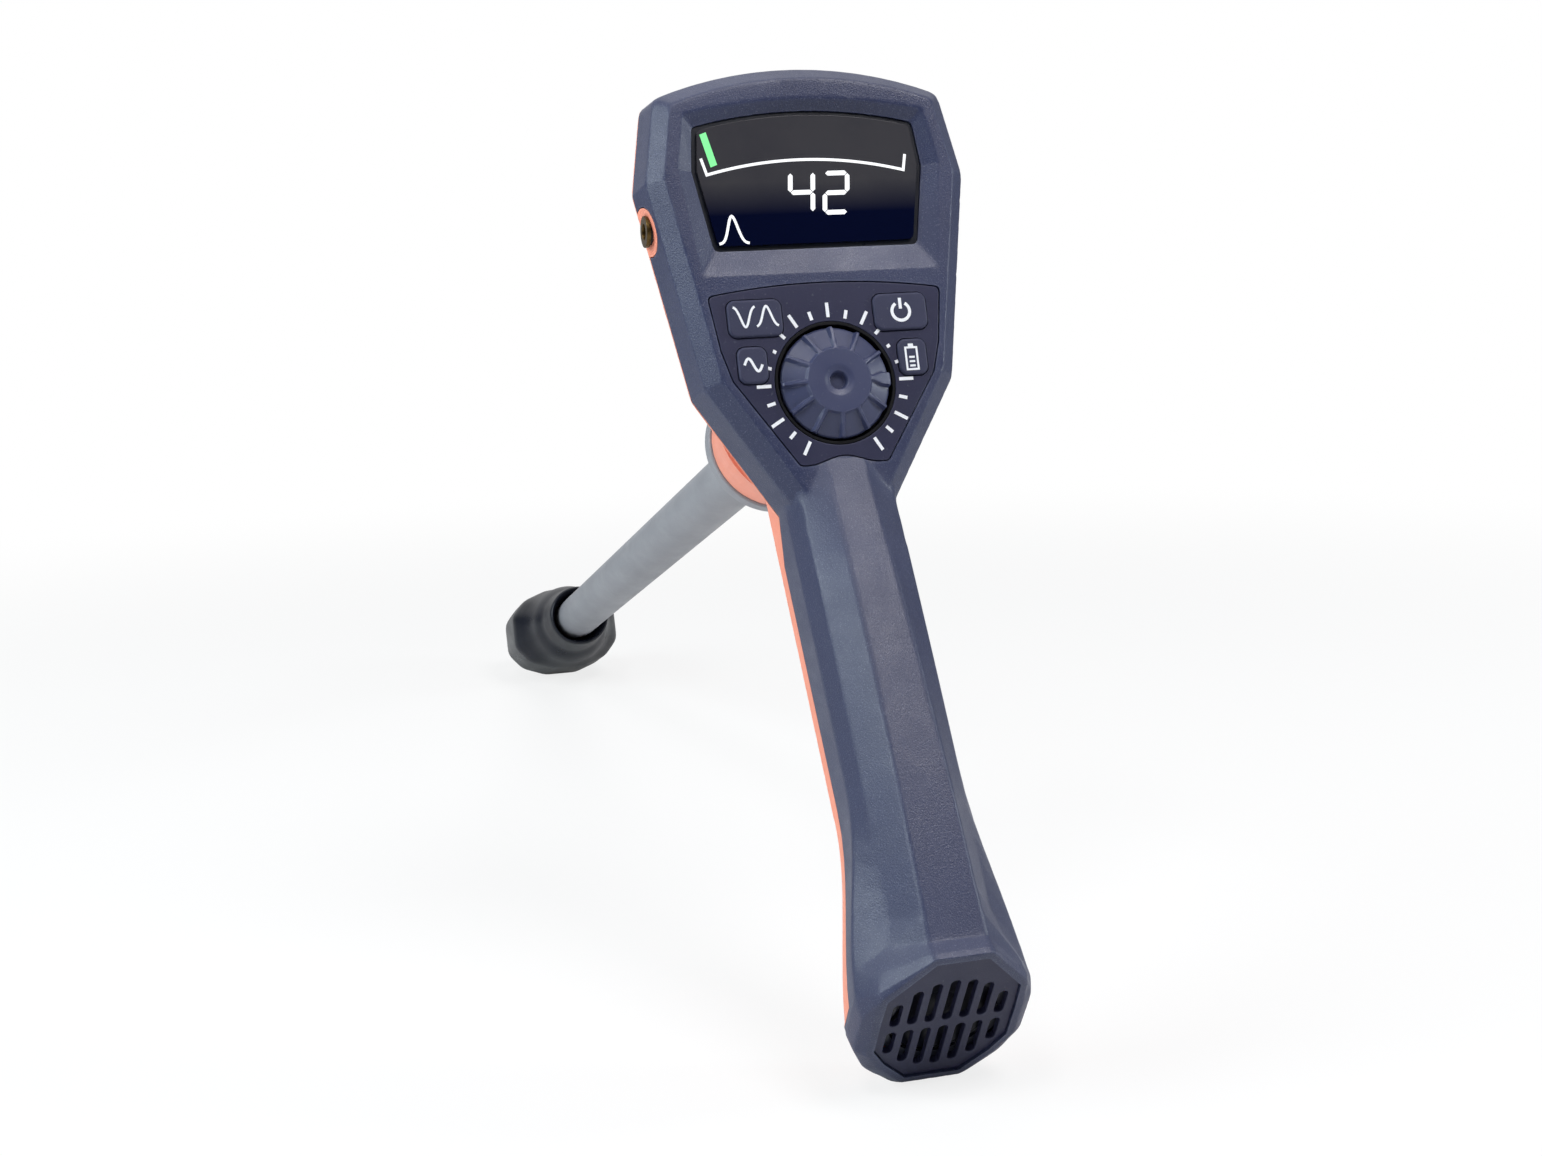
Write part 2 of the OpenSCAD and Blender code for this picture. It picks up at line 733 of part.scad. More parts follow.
module dial_well() {
    bushing_r = shaft_r + 1;
    color(black)
        placed()
            difference() {
                union() {
                    translate([0, 0, pot_z]) cylinder(r = well_r, h = -pot_z, $fn = round_fn);
                    translate([0, 0, -shell_wall - 1.2]) cylinder(r = well_r + 0.8, h = 1.2, $fn = round_fn);
                }
                translate([0, 0, well_floor_z]) cylinder(r = well_r - well_wall, h = well_d + 1, $fn = round_fn);
                translate([0, 0, pot_z - 1]) cylinder(r = bushing_r, h = well_d);
            }
}

// Height of the knob's shoulder, where the scallops run out
shoulder_z = 1.4;
// The ridge at three o'clock is left as the pointer
module knob_scallop_cuts() {
    scallop_r = 4.6;
    scallop_d = 0.9;
    fall = atan((knob_h - shoulder_z) / (knob_r - knob_top_r));
    pointer_half_w = 1.1;
    difference() {
        for (i = [0 : knob_scallops - 1])
            rotate(360 / knob_scallops * (i + 0.5))
                translate([knob_top_r, 0, knob_h + scallop_r - scallop_d])
                    rotate([0, 90 + fall, 0])
                        translate([0, 0, -1])
                            cylinder(r = scallop_r, h = knob_r);
        translate([0, -pointer_half_w, 0]) cube([knob_r, 2 * pointer_half_w, knob_h]);
    }
}

module dial_knob() {
    under_z = well_floor_z + 0.7;
    hub_z = -1.4;
    roof_z = 1.2;
    dimple_r = 2.4;
    color(navy)
        placed()
            difference() {
                union() {
                    rotate_extrude($fn = round_fn)
                        polygon([
                            [knob_r - 5, under_z], [knob_r, under_z], [knob_r, shoulder_z],
                            [knob_top_r, knob_h], [shaft_r, knob_h], [shaft_r, roof_z],
                            [knob_r - 5, roof_z]]);
                    translate([0, 0, hub_z]) cylinder(r = shaft_r + 2.4, h = knob_h - hub_z);
                }
                knob_scallop_cuts();
                translate([0, 0, knob_h - 2]) cylinder(r = dimple_r, h = 3);
                translate([0, 0, hub_z - 1]) cylinder(r = shaft_r + 0.02, h = roof_z - hub_z + 1);
            }
}

module dial_shaft() {
    color(steel) placed() translate([0, 0, pot_z - 2]) cylinder(r = shaft_r, h = 1.2 - pot_z + 2);
}

module potentiometer() {
    color(green)
        placed()
            difference() {
                union() {
                    translate([0, 0, board_z]) cylinder(r = pot_r, h = pot_z - board_z);
                    translate([0, 0, pot_z]) cylinder(r = shaft_r + 0.9, h = -1.8 - pot_z);
                }
                translate([0, 0, pot_z - 2.2]) cylinder(r = shaft_r + shaft_play, h = well_d + 4);
            }
}

module potentiometer_nut() {
    color(steel)
        placed()
            translate([0, 0, well_floor_z])
                difference() {
                    cylinder(r = shaft_r + 3, h = 2, $fn = 6);
                    translate([0, 0, -1]) cylinder(r = shaft_r + 0.95, h = 4);
                }
}

module display_window() {
    color(glass) placed() slab(window_z, window_z + window_t) window_outline();
}

module window_gasket() {
    color(black)
        placed()
            slab(ledge_z, window_z)
                difference() {
                    window_outline(recess_w - 0.1);
                    window_outline(-window_ledge);
                }
}

module display_module() {
    color(steel)
        placed()
            difference() {
                slab(board_z, display_z) window_outline(window_ledge);
                on_jack() translate([0, 0, -jack_bore_len - 3]) cylinder(r = jack_r + 0.3, h = jack_bore_len + 3);
            }
}

module main_board() {
    color(green)
        placed()
            difference() {
                slab(board_z - board_t, board_z) polygon(head_ring(shell_wall + 3));
                at_head_screws() translate([0, 0, -seam_d]) cylinder(r = post_r + 0.2, h = seam_d);
                translate([-jack_wall_x, jack_y, board_z - 5])
                    translate([-4, -jack_r - 1, 0]) cube([jack_bore_len + 8, 2 * jack_r + 2, 10]);
            }
}

module tactile_switches() {
    color(black)
        placed()
            for (p = [[-key_upper[0], key_upper[1]], key_upper, [-key_lower[0], key_lower[1]], key_lower])
                translate([p[0], p[1], board_z]) {
                    translate([-switch_w / 2, -switch_w / 2, 0]) cube([switch_w, switch_w, switch_z - board_z - 0.7]);
                    cylinder(r = 1.7, h = switch_z - board_z);
                }
}

jack_nut_t = 1.2;
jack_nut_r = jack_r + 0.8;
module headphone_jack() {
    color(black)
        placed()
            on_jack()
                difference() {
                    translate([0, 0, -jack_bore_len - 2]) cylinder(r = jack_r, h = jack_bore_len + 2);
                    translate([0, 0, -jack_bore_len]) cylinder(r = jack_bore_r, h = jack_bore_len + 1);
                }
}

module jack_nut() {
    color(brass)
        placed()
            on_jack()
                difference() {
                    cylinder(r = jack_nut_r, h = jack_nut_t);
                    translate([0, 0, -1]) cylinder(r = jack_bore_r + 0.6, h = jack_nut_t + 2);
                }
}

grille_z = -grille_sink - grille_t;
module speaker_grille() {
    color(navy)
        placed()
            on_end()
                difference() {
                    slab(grille_z, -grille_sink) end_outline(grille_rim + joint_gap);
                    for (i = [-(slot_count - 1) / 2 : (slot_count - 1) / 2], up = [-1, 1]) {
                        x = i * slot_pitch;
                        far = sqrt(slot_field_r * slot_field_r - x * x) - slot_w / 2;
                        near = slot_bar + slot_w / 2;
                        for (y = [near, far])
                            translate([x, up * y, grille_z - 1]) cylinder(r = slot_w / 2, h = grille_t + 2);
                        translate([x - slot_w / 2, up > 0 ? near : -far, grille_z - 1])
                            cube([slot_w, far - near, grille_t + 2]);
                    }
                }
}

speaker_gasket_t = 1;
speaker_z = grille_z - speaker_gasket_t;
module speaker_gasket() {
    color(black)
        placed()
            on_end()
                translate([0, 0, speaker_z])
                    difference() {
                        cylinder(r = speaker_r + 1, h = speaker_gasket_t, $fn = round_fn);
                        translate([0, 0, -1]) cylinder(r = speaker_r - 1.6, h = speaker_gasket_t + 2, $fn = round_fn);
                    }
}

module speaker_basket() {
    color(steel)
        placed()
            on_end()
                translate([0, 0, speaker_z])
                    rotate_extrude($fn = round_fn)
                        polygon([
                            [speaker_r, 0], [speaker_r - 2, 0], [speaker_r - 2, -1],
                            [speaker_r * 0.55, 0.8 - speaker_d], [0, 0.8 - speaker_d], [0, -speaker_d],
                            [speaker_r * 0.6, -speaker_d], [speaker_r, -1.5]]);
}

module speaker_cone() {
    color(black)
        placed()
            on_end()
                translate([0, 0, speaker_z])
                    rotate_extrude($fn = round_fn)
                        polygon([
                            [speaker_r - 2.1, -0.1], [speaker_r - 2.1, -0.7], [speaker_r * 0.3, 1.8 - speaker_d],
                            [0, 2.6 - speaker_d], [0, 3 - speaker_d], [speaker_r * 0.3, 2.3 - speaker_d]]);
}

module speaker_magnet() {
    color(steel)
        placed() on_end() translate([0, 0, speaker_z - speaker_d - 5]) cylinder(r = speaker_r * 0.55, h = 5);
}

// The cells lie in two pairs, end to end, behind a tray that is carried by the front shell
cell_len = (grip_len - cell_end - cell_start - cell_gap) / 2;
cell_x = cell_r + 0.1;
cell_v = grip_d - shell_wall - 4 - cell_r;
tray_v = cell_v - cell_r - 0.1;
tray_wall = 1.6;
tray_from = cell_start - tray_wall - 0.6;
tray_to = grip_len - cell_end + tray_wall + 1.6;
tray_half_w = grip_half_w - shell_wall - 0.3;
cover_screw_s = tray_to + 4;
module battery_tray() {
    plate_to = cover_screw_s + post_r;
    color(black)
        placed()
            difference() {
                on_grip() {
                    translate([-tray_half_w, -plate_to, -tray_v])
                        cube([2 * tray_half_w, plate_to - tray_from, tray_wall]);
                    for (s = [tray_from + tray_wall, tray_to])
                        translate([1 - cover_half_w, -s, -cell_v - 4])
                            cube([2 * cover_half_w - 2, tray_wall, cell_v + 4 - tray_v + 1]);
                    translate([0, -cover_screw_s, 0])
                        post(shell_wall + joint_gap + 1 - grip_back(cover_screw_s), 1 - tray_v);
                }
                cover_screw_place() cylinder(r = screw_r, h = cover_screw_len + 1);
            }
}

cell_rows = [cell_start, cell_start + cell_len + cell_gap];
module battery_cells() {
    color(steel)
        placed()
            on_grip()
                for (x = [-cell_x, cell_x], s = cell_rows)
                    translate([x, -s, -cell_v]) rotate([90, 0, 0]) {
                        cylinder(r = cell_r, h = cell_len - 1.5);
                        cylinder(r = 2.7, h = cell_len);
                    }
}

module battery_contacts() {
    color(brass)
        placed()
            on_grip()
                for (x = [-cell_x, cell_x], s = [tray_from + tray_wall + 0.5, cell_rows[1] - 0.3, tray_to - tray_wall])
                    translate([x - 3, -s, -cell_v - 3]) cube([6, 0.4, 6]);
}

module battery_cover() {
    color(orange)
        placed()
            difference() {
                intersection() {
                    difference() {
                        grip_solid();
                        grip_hollow();
                    }
                    cover_zone(0);
                }
                cover_screw_place() translate([0, 0, -1]) cylinder(r = screw_r + 0.15, h = 20);
                cover_screw_place() translate([0, 0, -5]) cylinder(r = screw_head_r + 0.2, h = 5 + 1.2);
            }
}

// Measured from the cover's outer face inwards
cover_screw_len = 10;
module cover_screw_place() {
    on_grip() translate([0, -cover_screw_s, -grip_back(cover_screw_s)]) children();
}

screw_head_t = 1.6;
module screw(length) {
    difference() {
        union() {
            cylinder(r = screw_head_r, h = screw_head_t);
            cylinder(r = screw_r - 0.05, h = length);
        }
        translate([-screw_head_r * 0.7, -0.4, -1]) cube([screw_head_r * 1.4, 0.8, 1.7]);
        translate([-0.4, -screw_head_r * 0.7, -1]) cube([0.8, screw_head_r * 1.4, 1.7]);
    }
}

module cover_screw() {
    color(steel) placed() cover_screw_place() translate([0, 0, -0.4]) screw(cover_screw_len);
}

module shell_screws() {
    color(steel)
        placed() {
            at_head_screws() translate([0, 0, head_sink_d - back_d - screw_head_t]) screw(back_d - seam_d);
            at_neck_screw() translate([0, 0, sink_d - grip_back(neck_screw) - screw_head_t])
                screw(grip_back(neck_screw) - grip_seam_d);
        }
}

seal_r = 1;
module wand_collar() {
    color(grey)
        placed()
            on_wand(boss_end)
                difference() {
                    rotate_extrude($fn = round_fn)
                        polygon([
                            [tube_r + tube_play, 0], [collar_r, 0], [collar_r, collar_len * 0.6],
                            [collar_r - 2, collar_len * 0.85], [tube_r + 3.5, collar_len],
                            [tube_r + tube_play, collar_len]]);
                    rotate_extrude($fn = round_fn)
                        translate([tube_r + 4, 0]) circle(seal_r + 0.1);
                }
}

module collar_seal() {
    color(black)
        placed()
            on_wand(boss_end)
                intersection() {
                    rotate_extrude($fn = round_fn) translate([tube_r + 4, 0]) circle(seal_r);
                    cylinder(r = collar_r, h = 5);
                }
}

tube_start = boss_end - shell_wall - 12;
tube_end = wand_len - boot_floor;
module tube_nut() {
    color(steel)
        placed()
            on_wand(boss_end - shell_wall - 8)
                difference() {
                    cylinder(r = tube_r + 4, h = 8, $fn = 8);
                    translate([0, 0, -1]) cylinder(r = tube_r + tube_play, h = 10, $fn = round_fn);
                }
}

module wand_tube() {
    color(grey)
        placed()
            on_wand(tube_start)
                difference() {
                    cylinder(r = tube_r, h = tube_end - tube_start, $fn = round_fn);
                    translate([0, 0, -1])
                        cylinder(r = tube_r - tube_wall, h = tube_end - tube_start + 2, $fn = round_fn);
                }
}

// The antenna lies near the boot, inside the tube
tube_in_r = tube_r - tube_wall;
rod_end = tube_end - rod_room;
rod_start = rod_end - rod_len;
former_r = rod_r + 1.2;
coil_r = former_r + 1.6;
coil_start = rod_start + (rod_len - coil_len) / 2;
module ferrite_rod() {
    color([0.25, 0.25, 0.26]) placed() on_wand(rod_start) cylinder(r = rod_r, h = rod_len);
}

module coil_former() {
    flange = 2;
    color(black)
        placed()
            on_wand(coil_start - flange)
                difference() {
                    union() {
                        cylinder(r = former_r, h = coil_len + 2 * flange);
                        for (w = [0, coil_len + flange])
                            translate([0, 0, w]) cylinder(r = tube_in_r - 0.2, h = flange);
                    }
                    translate([0, 0, -1]) cylinder(r = rod_r + 0.1, h = coil_len + 2 * flange + 2);
                }
}

module antenna_coil() {
    color([0.72, 0.4, 0.2])
        placed()
            on_wand(coil_start + 0.1)
                difference() {
                    cylinder(r = coil_r, h = coil_len - 0.2);
                    translate([0, 0, -1]) cylinder(r = former_r + 0.05, h = coil_len + 2);
                }
}

spacer_len = 8;
module rod_spacers() {
    color(black)
        placed()
            for (w = [rod_start + 4, rod_end - 4 - spacer_len])
                on_wand(w)
                    difference() {
                        cylinder(r = tube_in_r - 0.2, h = spacer_len);
                        translate([0, 0, -1]) cylinder(r = rod_r + 0.1, h = spacer_len + 2);
                    }
}

lead_r = 1.5;
module coil_lead() {
    from = (board_t - board_z) / cos(wand_tilt) + 0.3;
    color(black) placed() on_wand(from) cylinder(r = lead_r, h = rod_start - 0.3 - from);
}

module tube_plug() {
    color(black) placed() on_wand(tube_end - 10) cylinder(r = tube_in_r - 0.1, h = 9.8);
}

// The boot's neck is round, and its widest part has twelve flats
function boot_outline() =
    let(q = [[boot_half_w, boot_half_h * 0.4], [boot_half_w * 0.745, boot_half_h * 0.79],
        [boot_half_w * 0.305, boot_half_h]])
    concat(q, [for (i = [2 : -1 : 0]) [-q[i][0], q[i][1]]], [for (p = q) -p],
        [for (i = [2 : -1 : 0]) [q[i][0], -q[i][1]]]);
function boot_circle(r) = [for (p = boot_outline()) r * p / norm(p)];
module boot() {
    start = wand_len - boot_len;
    wide = wand_len - boot_wide_len;
    ring_at = wide - 15;
    neck_at = ring_at - 10;
    lip_t = 1;
    color(black)
        placed()
            difference() {
                union() {
                    on_wand()
                        loft([
                            at_depth(inset_ring(boot_outline(), boot_chamfer), wand_len),
                            at_depth(boot_outline(), wand_len - boot_chamfer),
                            at_depth(boot_outline(), wide),
                            at_depth(boot_circle(boot_ring_r - 0.4), ring_at)]);
                    on_wand()
                        rotate_extrude($fn = round_fn)
                            polygon([
                                [tube_r + tube_play, start], [boot_lip_r - lip_t, start], [boot_lip_r, start + lip_t],
                                [boot_neck_r, neck_at], [boot_ring_r, ring_at], [boot_ring_r, ring_at + 3],
                                [tube_r + tube_play, ring_at + 3]]);
                }
                on_wand(start) cylinder(r = tube_r + tube_play, h = boot_len - boot_floor, $fn = round_fn);
            }
}

front_shell();
rear_shell();
keypad_panel();
peak_null_button();
power_button();
frequency_button();
battery_button();
dial_well();
dial_knob();
dial_shaft();
potentiometer();
potentiometer_nut();
display_window();
window_gasket();
display_module();
main_board();
tactile_switches();
headphone_jack();
jack_nut();
speaker_grille();
speaker_gasket();
speaker_basket();
speaker_cone();
speaker_magnet();
battery_tray();
battery_cells();
battery_contacts();
battery_cover();
cover_screw();
shell_screws();
wand_collar();
collar_seal();
tube_nut();
wand_tube();
ferrite_rod();
coil_former();
antenna_coil();
rod_spacers();
coil_lead();
tube_plug();
boot();
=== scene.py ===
import json
import math

import bmesh
import bpy
import numpy
from mathutils import Matrix, Vector
from mathutils.bvhtree import BVHTree

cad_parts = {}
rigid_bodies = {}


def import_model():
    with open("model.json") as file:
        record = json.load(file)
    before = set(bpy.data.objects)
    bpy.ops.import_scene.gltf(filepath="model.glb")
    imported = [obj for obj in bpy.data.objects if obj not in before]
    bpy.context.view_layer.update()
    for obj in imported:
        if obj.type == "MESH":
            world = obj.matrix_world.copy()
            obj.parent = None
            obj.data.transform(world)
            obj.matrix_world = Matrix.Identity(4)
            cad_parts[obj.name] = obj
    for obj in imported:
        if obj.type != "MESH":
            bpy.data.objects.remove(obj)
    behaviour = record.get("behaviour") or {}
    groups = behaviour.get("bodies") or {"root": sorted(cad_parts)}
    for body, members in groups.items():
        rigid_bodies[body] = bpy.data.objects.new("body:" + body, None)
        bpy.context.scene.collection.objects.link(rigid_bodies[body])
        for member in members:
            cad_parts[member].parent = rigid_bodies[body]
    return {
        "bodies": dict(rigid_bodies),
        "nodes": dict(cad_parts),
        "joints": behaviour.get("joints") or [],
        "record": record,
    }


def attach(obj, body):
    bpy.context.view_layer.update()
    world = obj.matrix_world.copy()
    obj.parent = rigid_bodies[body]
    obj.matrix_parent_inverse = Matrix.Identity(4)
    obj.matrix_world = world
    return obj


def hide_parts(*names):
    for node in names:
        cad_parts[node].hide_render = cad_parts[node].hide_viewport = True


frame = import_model()
nodes = frame["nodes"]
kept = set(nodes.values()) | set(frame["bodies"].values())
for stray in [o for o in bpy.data.objects if o not in kept]:
    bpy.data.objects.remove(stray)
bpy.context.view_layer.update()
scene = bpy.context.scene
scene.view_settings.view_transform = "Standard"
print("frame loaded,", len(nodes), "nodes")

# face axes: millimetres from the middle of the dial, x right, y up the face, z out of it
perMetre = 1000
dialTurn = next(j for j in frame["joints"] if j["name"] == "dial_turn")
faceOut = Vector(dialTurn["axis"]).normalized()
faceRight = Vector((1, 0, 0))
faceUp = faceOut.cross(faceRight)
faceTurn = Matrix((faceRight, faceUp, faceOut)).transposed().to_4x4()
fromFace = Matrix.Translation(dialTurn["pos_m"]) @ faceTurn @ Matrix.Scale(1 / perMetre, 4)
toFace = fromFace.inverted()


# a colour as it is written, 0 to 255, made linear for the shaders
def srgb(*levels):
    shares = [level / 255 for level in levels]
    return tuple(s / 12.92 if s < 0.04 else ((s + 0.055) / 1.055) ** 2.4 for s in shares) + (1,)


# node helpers: a number sets a socket, anything else is linked to it
def feed(t, socket, value):
    if isinstance(value, (int, float)):
        socket.default_value = value
    else:
        t.links.new(value, socket)


def math2(t, kind, a, b=0.0):
    m = t.nodes.new("ShaderNodeMath")
    m.operation = kind
    feed(t, m.inputs[0], a)
    feed(t, m.inputs[1], b)
    return m.outputs[0]


def ramp(t, value, low, high, outLow=0.0, outHigh=1.0, kind="LINEAR"):
    m = t.nodes.new("ShaderNodeMapRange")
    m.interpolation_type = kind
    for label, number in zip(("From Min", "From Max", "To Min", "To Max"), (low, high, outLow, outHigh)):
        m.inputs[label].default_value = number
    t.links.new(value, m.inputs["Value"])
    return m.outputs["Result"]


def noise(t, coords, scale, detail, rough=0.55):
    n = t.nodes.new("ShaderNodeTexNoise")
    n.inputs["Detail"].default_value = detail
    n.inputs["Roughness"].default_value = rough
    t.links.new(coords, n.inputs["Vector"])
    feed(t, n.inputs["Scale"], scale)
    return n.outputs["Fac"]


def objectPlace(t):
    return t.nodes.new("ShaderNodeTexCoord").outputs["Object"]


def stretched(t, coords, scale):
    mapping = t.nodes.new("ShaderNodeMapping")
    mapping.inputs["Scale"].default_value = scale
    t.links.new(coords, mapping.inputs["Vector"])
    return mapping.outputs["Vector"]


def mixToOutput(t, outputKind, share, first, second):
    mix = t.nodes.new("ShaderNodeMixShader")
    out = t.nodes.new(outputKind)
    t.links.new(share, mix.inputs[0])
    t.links.new(first.outputs[0], mix.inputs[1])
    t.links.new(second.outputs[0], mix.inputs[2])
    t.links.new(mix.outputs[0], out.inputs["Surface"])


def emptyMaterial(name):
    material = bpy.data.materials.new(name)
    material.use_nodes = True
    material.node_tree.nodes.clear()
    return material, material.node_tree


# camera
view = {
    "place": (-0.193599, -0.813433, 0.247514),
    "turn": (1.392050505, 0.031906448, -0.279946636),
    "sensor": 36,
    "lens": 50.965,
    "near": 0.01,
    "far": 50,
}
camera = bpy.data.objects.new("camera", bpy.data.cameras.new("camera"))
scene.collection.objects.link(camera)
camera.location = view["place"]
camera.rotation_euler = view["turn"]
camera.data.sensor_fit = "HORIZONTAL"
camera.data.sensor_width = view["sensor"]
camera.data.lens = view["lens"]
camera.data.clip_start = view["near"]
camera.data.clip_end = view["far"]
scene.camera = camera

# light, floor and backdrop
studio = {
    "lamps": {  # name: place, aim, size, watts, tint
        "leftLamp": ((-1.25, -0.22, 0.75), (0, -0.2, 0.15), 0.9, 16, (0.85, 0.96, 1.0)),
        "edgeLamp": ((-0.5, -0.73, 1.35), (0, -0.2, 0.15), 0.35, 5, (1.0, 1.0, 1.0)),
        "frontLamp": ((0.42, -0.84, 1.38), (0, -0.2, 0.15), 0.6, 12, (1.0, 0.97, 0.97)),
        "topLamp": ((0.1, 0.4, 1.7), (0, 0, 0.1), 1.2, 4, (1.0, 1.0, 1.0)),
        "rightLamp": ((1.08, -0.5, 0.5), (0, -0.18, 0.25), 0.25, 5.5, (0.9, 0.97, 1.0)),
    },
    "ambient": 0.13,
    "roomTint": (0.93, 0.96, 1, 1),
    "backdropFacing": (0, 0.6, 0.8),
    "backdropFade": (0.35, 0.85),
    "paperColour": (1, 1, 1, 1),
    "floorColour": (0.8, 0.8, 0.8, 1),
    "floorSize": 12,
    "floorFade": (0.35, 1.0),  # metres from the middle, where the floor turns to white paper
    "paperShare": 0.8,
    "floorMirrored": 0.2,
}


def addLamp(name, place, aim, size, watts, tint):
    data = bpy.data.lights.new(name, "AREA")
    data.shape = "DISK"
    data.size = size
    data.energy = watts
    data.color = tint
    lamp = bpy.data.objects.new(name, data)
    scene.collection.objects.link(lamp)
    lamp.location = place
    lamp.rotation_euler = (Vector(aim) - Vector(place)).to_track_quat("-Z", "Y").to_euler()


# the share of white paper: all of it to the camera and through glass, in reflections as much as given
def paperSeen(t, mirrored):
    path = t.nodes.new("ShaderNodeLightPath").outputs
    seen = math2(t, "MAXIMUM", path["Is Camera Ray"], path["Is Transmission Ray"])
    return math2(t, "MAXIMUM", seen, math2(t, "MULTIPLY", path["Is Glossy Ray"], mirrored))


# in reflections the white backdrop hangs behind and above the object, and the room round it is dimmer
def makeWorld():
    world = bpy.data.worlds.new("studio")
    scene.world = world
    world.use_nodes = True
    t = world.node_tree
    t.nodes.clear()
    heading = t.nodes.new("ShaderNodeTexCoord")
    towards = t.nodes.new("ShaderNodeVectorMath")
    towards.operation = "DOT_PRODUCT"
    towards.inputs[1].default_value = studio["backdropFacing"]
    t.links.new(heading.outputs["Generated"], towards.inputs[0])
    behind = ramp(t, towards.outputs["Value"], *studio["backdropFade"], kind="SMOOTHSTEP")
    room = t.nodes.new("ShaderNodeBackground")
    room.inputs["Color"].default_value = studio["roomTint"]
    room.inputs["Strength"].default_value = studio["ambient"]
    paper = t.nodes.new("ShaderNodeBackground")
    paper.inputs["Color"].default_value = studio["paperColour"]
    paper.inputs["Strength"].default_value = 1
    mixToOutput(t, "ShaderNodeOutputWorld", paperSeen(t, behind), room, paper)


def makeFloor():
    half = studio["floorSize"] / 2
    corners = [(-half, -half, 0), (half, -half, 0), (half, half, 0), (-half, half, 0)]
    mesh = bpy.data.meshes.new("floor")
    mesh.from_pydata(corners, [], [(0, 1, 2, 3)])
    floor = bpy.data.objects.new("floor", mesh)
    scene.collection.objects.link(floor)
    material, t = emptyMaterial("floorPaper")
    length = t.nodes.new("ShaderNodeVectorMath")
    length.operation = "LENGTH"
    t.links.new(objectPlace(t), length.inputs[0])
    fade = ramp(t, length.outputs["Value"], *studio["floorFade"], studio["paperShare"], kind="SMOOTHSTEP")
    share = math2(t, "MULTIPLY", fade, paperSeen(t, studio["floorMirrored"]))
    matt = t.nodes.new("ShaderNodeBsdfDiffuse")
    matt.inputs["Color"].default_value = studio["floorColour"]
    glow = t.nodes.new("ShaderNodeEmission")
    glow.inputs["Color"].default_value = studio["paperColour"]
    mixToOutput(t, "ShaderNodeOutputMaterial", share, matt, glow)
    mesh.materials.append(material)


for lampName, settings in studio["lamps"].items():
    addLamp(lampName, *settings)
makeWorld()
makeFloor()
print("camera, lamps and floor set")


# shader groups
def newGroup(name, inputs, outputs):
    group = bpy.data.node_groups.new(name, "ShaderNodeTree")
    for label, value in inputs.items():
        socket = group.interface.new_socket(name=label, in_out="INPUT", socket_type="NodeSocketFloat")
        socket.default_value = value
    for label in outputs:
        group.interface.new_socket(name=label, in_out="OUTPUT", socket_type="NodeSocketFloat")
    return group, group.nodes.new("NodeGroupInput").outputs, group.nodes.new("NodeGroupOutput").inputs


# spark-eroded mould texture: fine pebbles, sparse bright specks and a slow cloudiness
mouldTexture = {"fineShare": 0.6, "pebbleShare": -0.5, "specks": (0.6, 0.74), "cloudScale": 26.0,
                "clouds": (0.3, 0.7)}


def buildMouldedGrain():
    group, given, result = newGroup(
        "mouldedGrain", {"Grain Scale": 2600.0, "Speck Scale": 3600.0}, ("Height", "Speck", "Cloud"))
    place = objectPlace(group)
    fine = noise(group, place, given["Grain Scale"], 3, 0.6)
    pebble = group.nodes.new("ShaderNodeTexVoronoi")
    pebble.feature = "SMOOTH_F1"
    group.links.new(place, pebble.inputs["Vector"])
    group.links.new(given["Grain Scale"], pebble.inputs["Scale"])
    height = math2(group, "ADD", math2(group, "MULTIPLY", fine, mouldTexture["fineShare"]),
                   math2(group, "MULTIPLY", pebble.outputs["Distance"], mouldTexture["pebbleShare"]))
    group.links.new(height, result["Height"])
    specks = noise(group, place, given["Speck Scale"], 1, 0.5)
    group.links.new(ramp(group, specks, *mouldTexture["specks"]), result["Speck"])
    cloud = noise(group, place, mouldTexture["cloudScale"], 4)
    group.links.new(ramp(group, cloud, *mouldTexture["clouds"]), result["Cloud"])
    return group


# rubbed corners with a painted edge highlight: the mask lies where the rounded normal leaves the true one
wearAndHighlightTexture = {"edge": (0.995, 0.93), "patches": (0.38, 0.66)}


def buildEdgeWearAndHighlight():
    group, given, result = newGroup("edgeWearAndHighlight", {"Width": 0.0012, "Patchiness": 160.0}, ("Mask",))
    rounded = group.nodes.new("ShaderNodeBevel")
    rounded.samples = 4
    group.links.new(given["Width"], rounded.inputs["Radius"])
    geometry = group.nodes.new("ShaderNodeNewGeometry")
    dot = group.nodes.new("ShaderNodeVectorMath")
    dot.operation = "DOT_PRODUCT"
    group.links.new(rounded.outputs["Normal"], dot.inputs[0])
    group.links.new(geometry.outputs["Normal"], dot.inputs[1])
    edge = ramp(group, dot.outputs["Value"], *wearAndHighlightTexture["edge"])
    patch = noise(group, objectPlace(group), given["Patchiness"], 5, 0.65)
    mask = math2(group, "MULTIPLY", edge, ramp(group, patch, *wearAndHighlightTexture["patches"]))
    group.links.new(mask, result["Mask"])
    return group


# settled dust and finger marks, as a faint uneven veil
handlingTexture = {"stretch": (1, 0.5, 1.4), "smears": (0.42, 0.7), "dustScale": 900.0, "dust": (0.66, 0.8)}


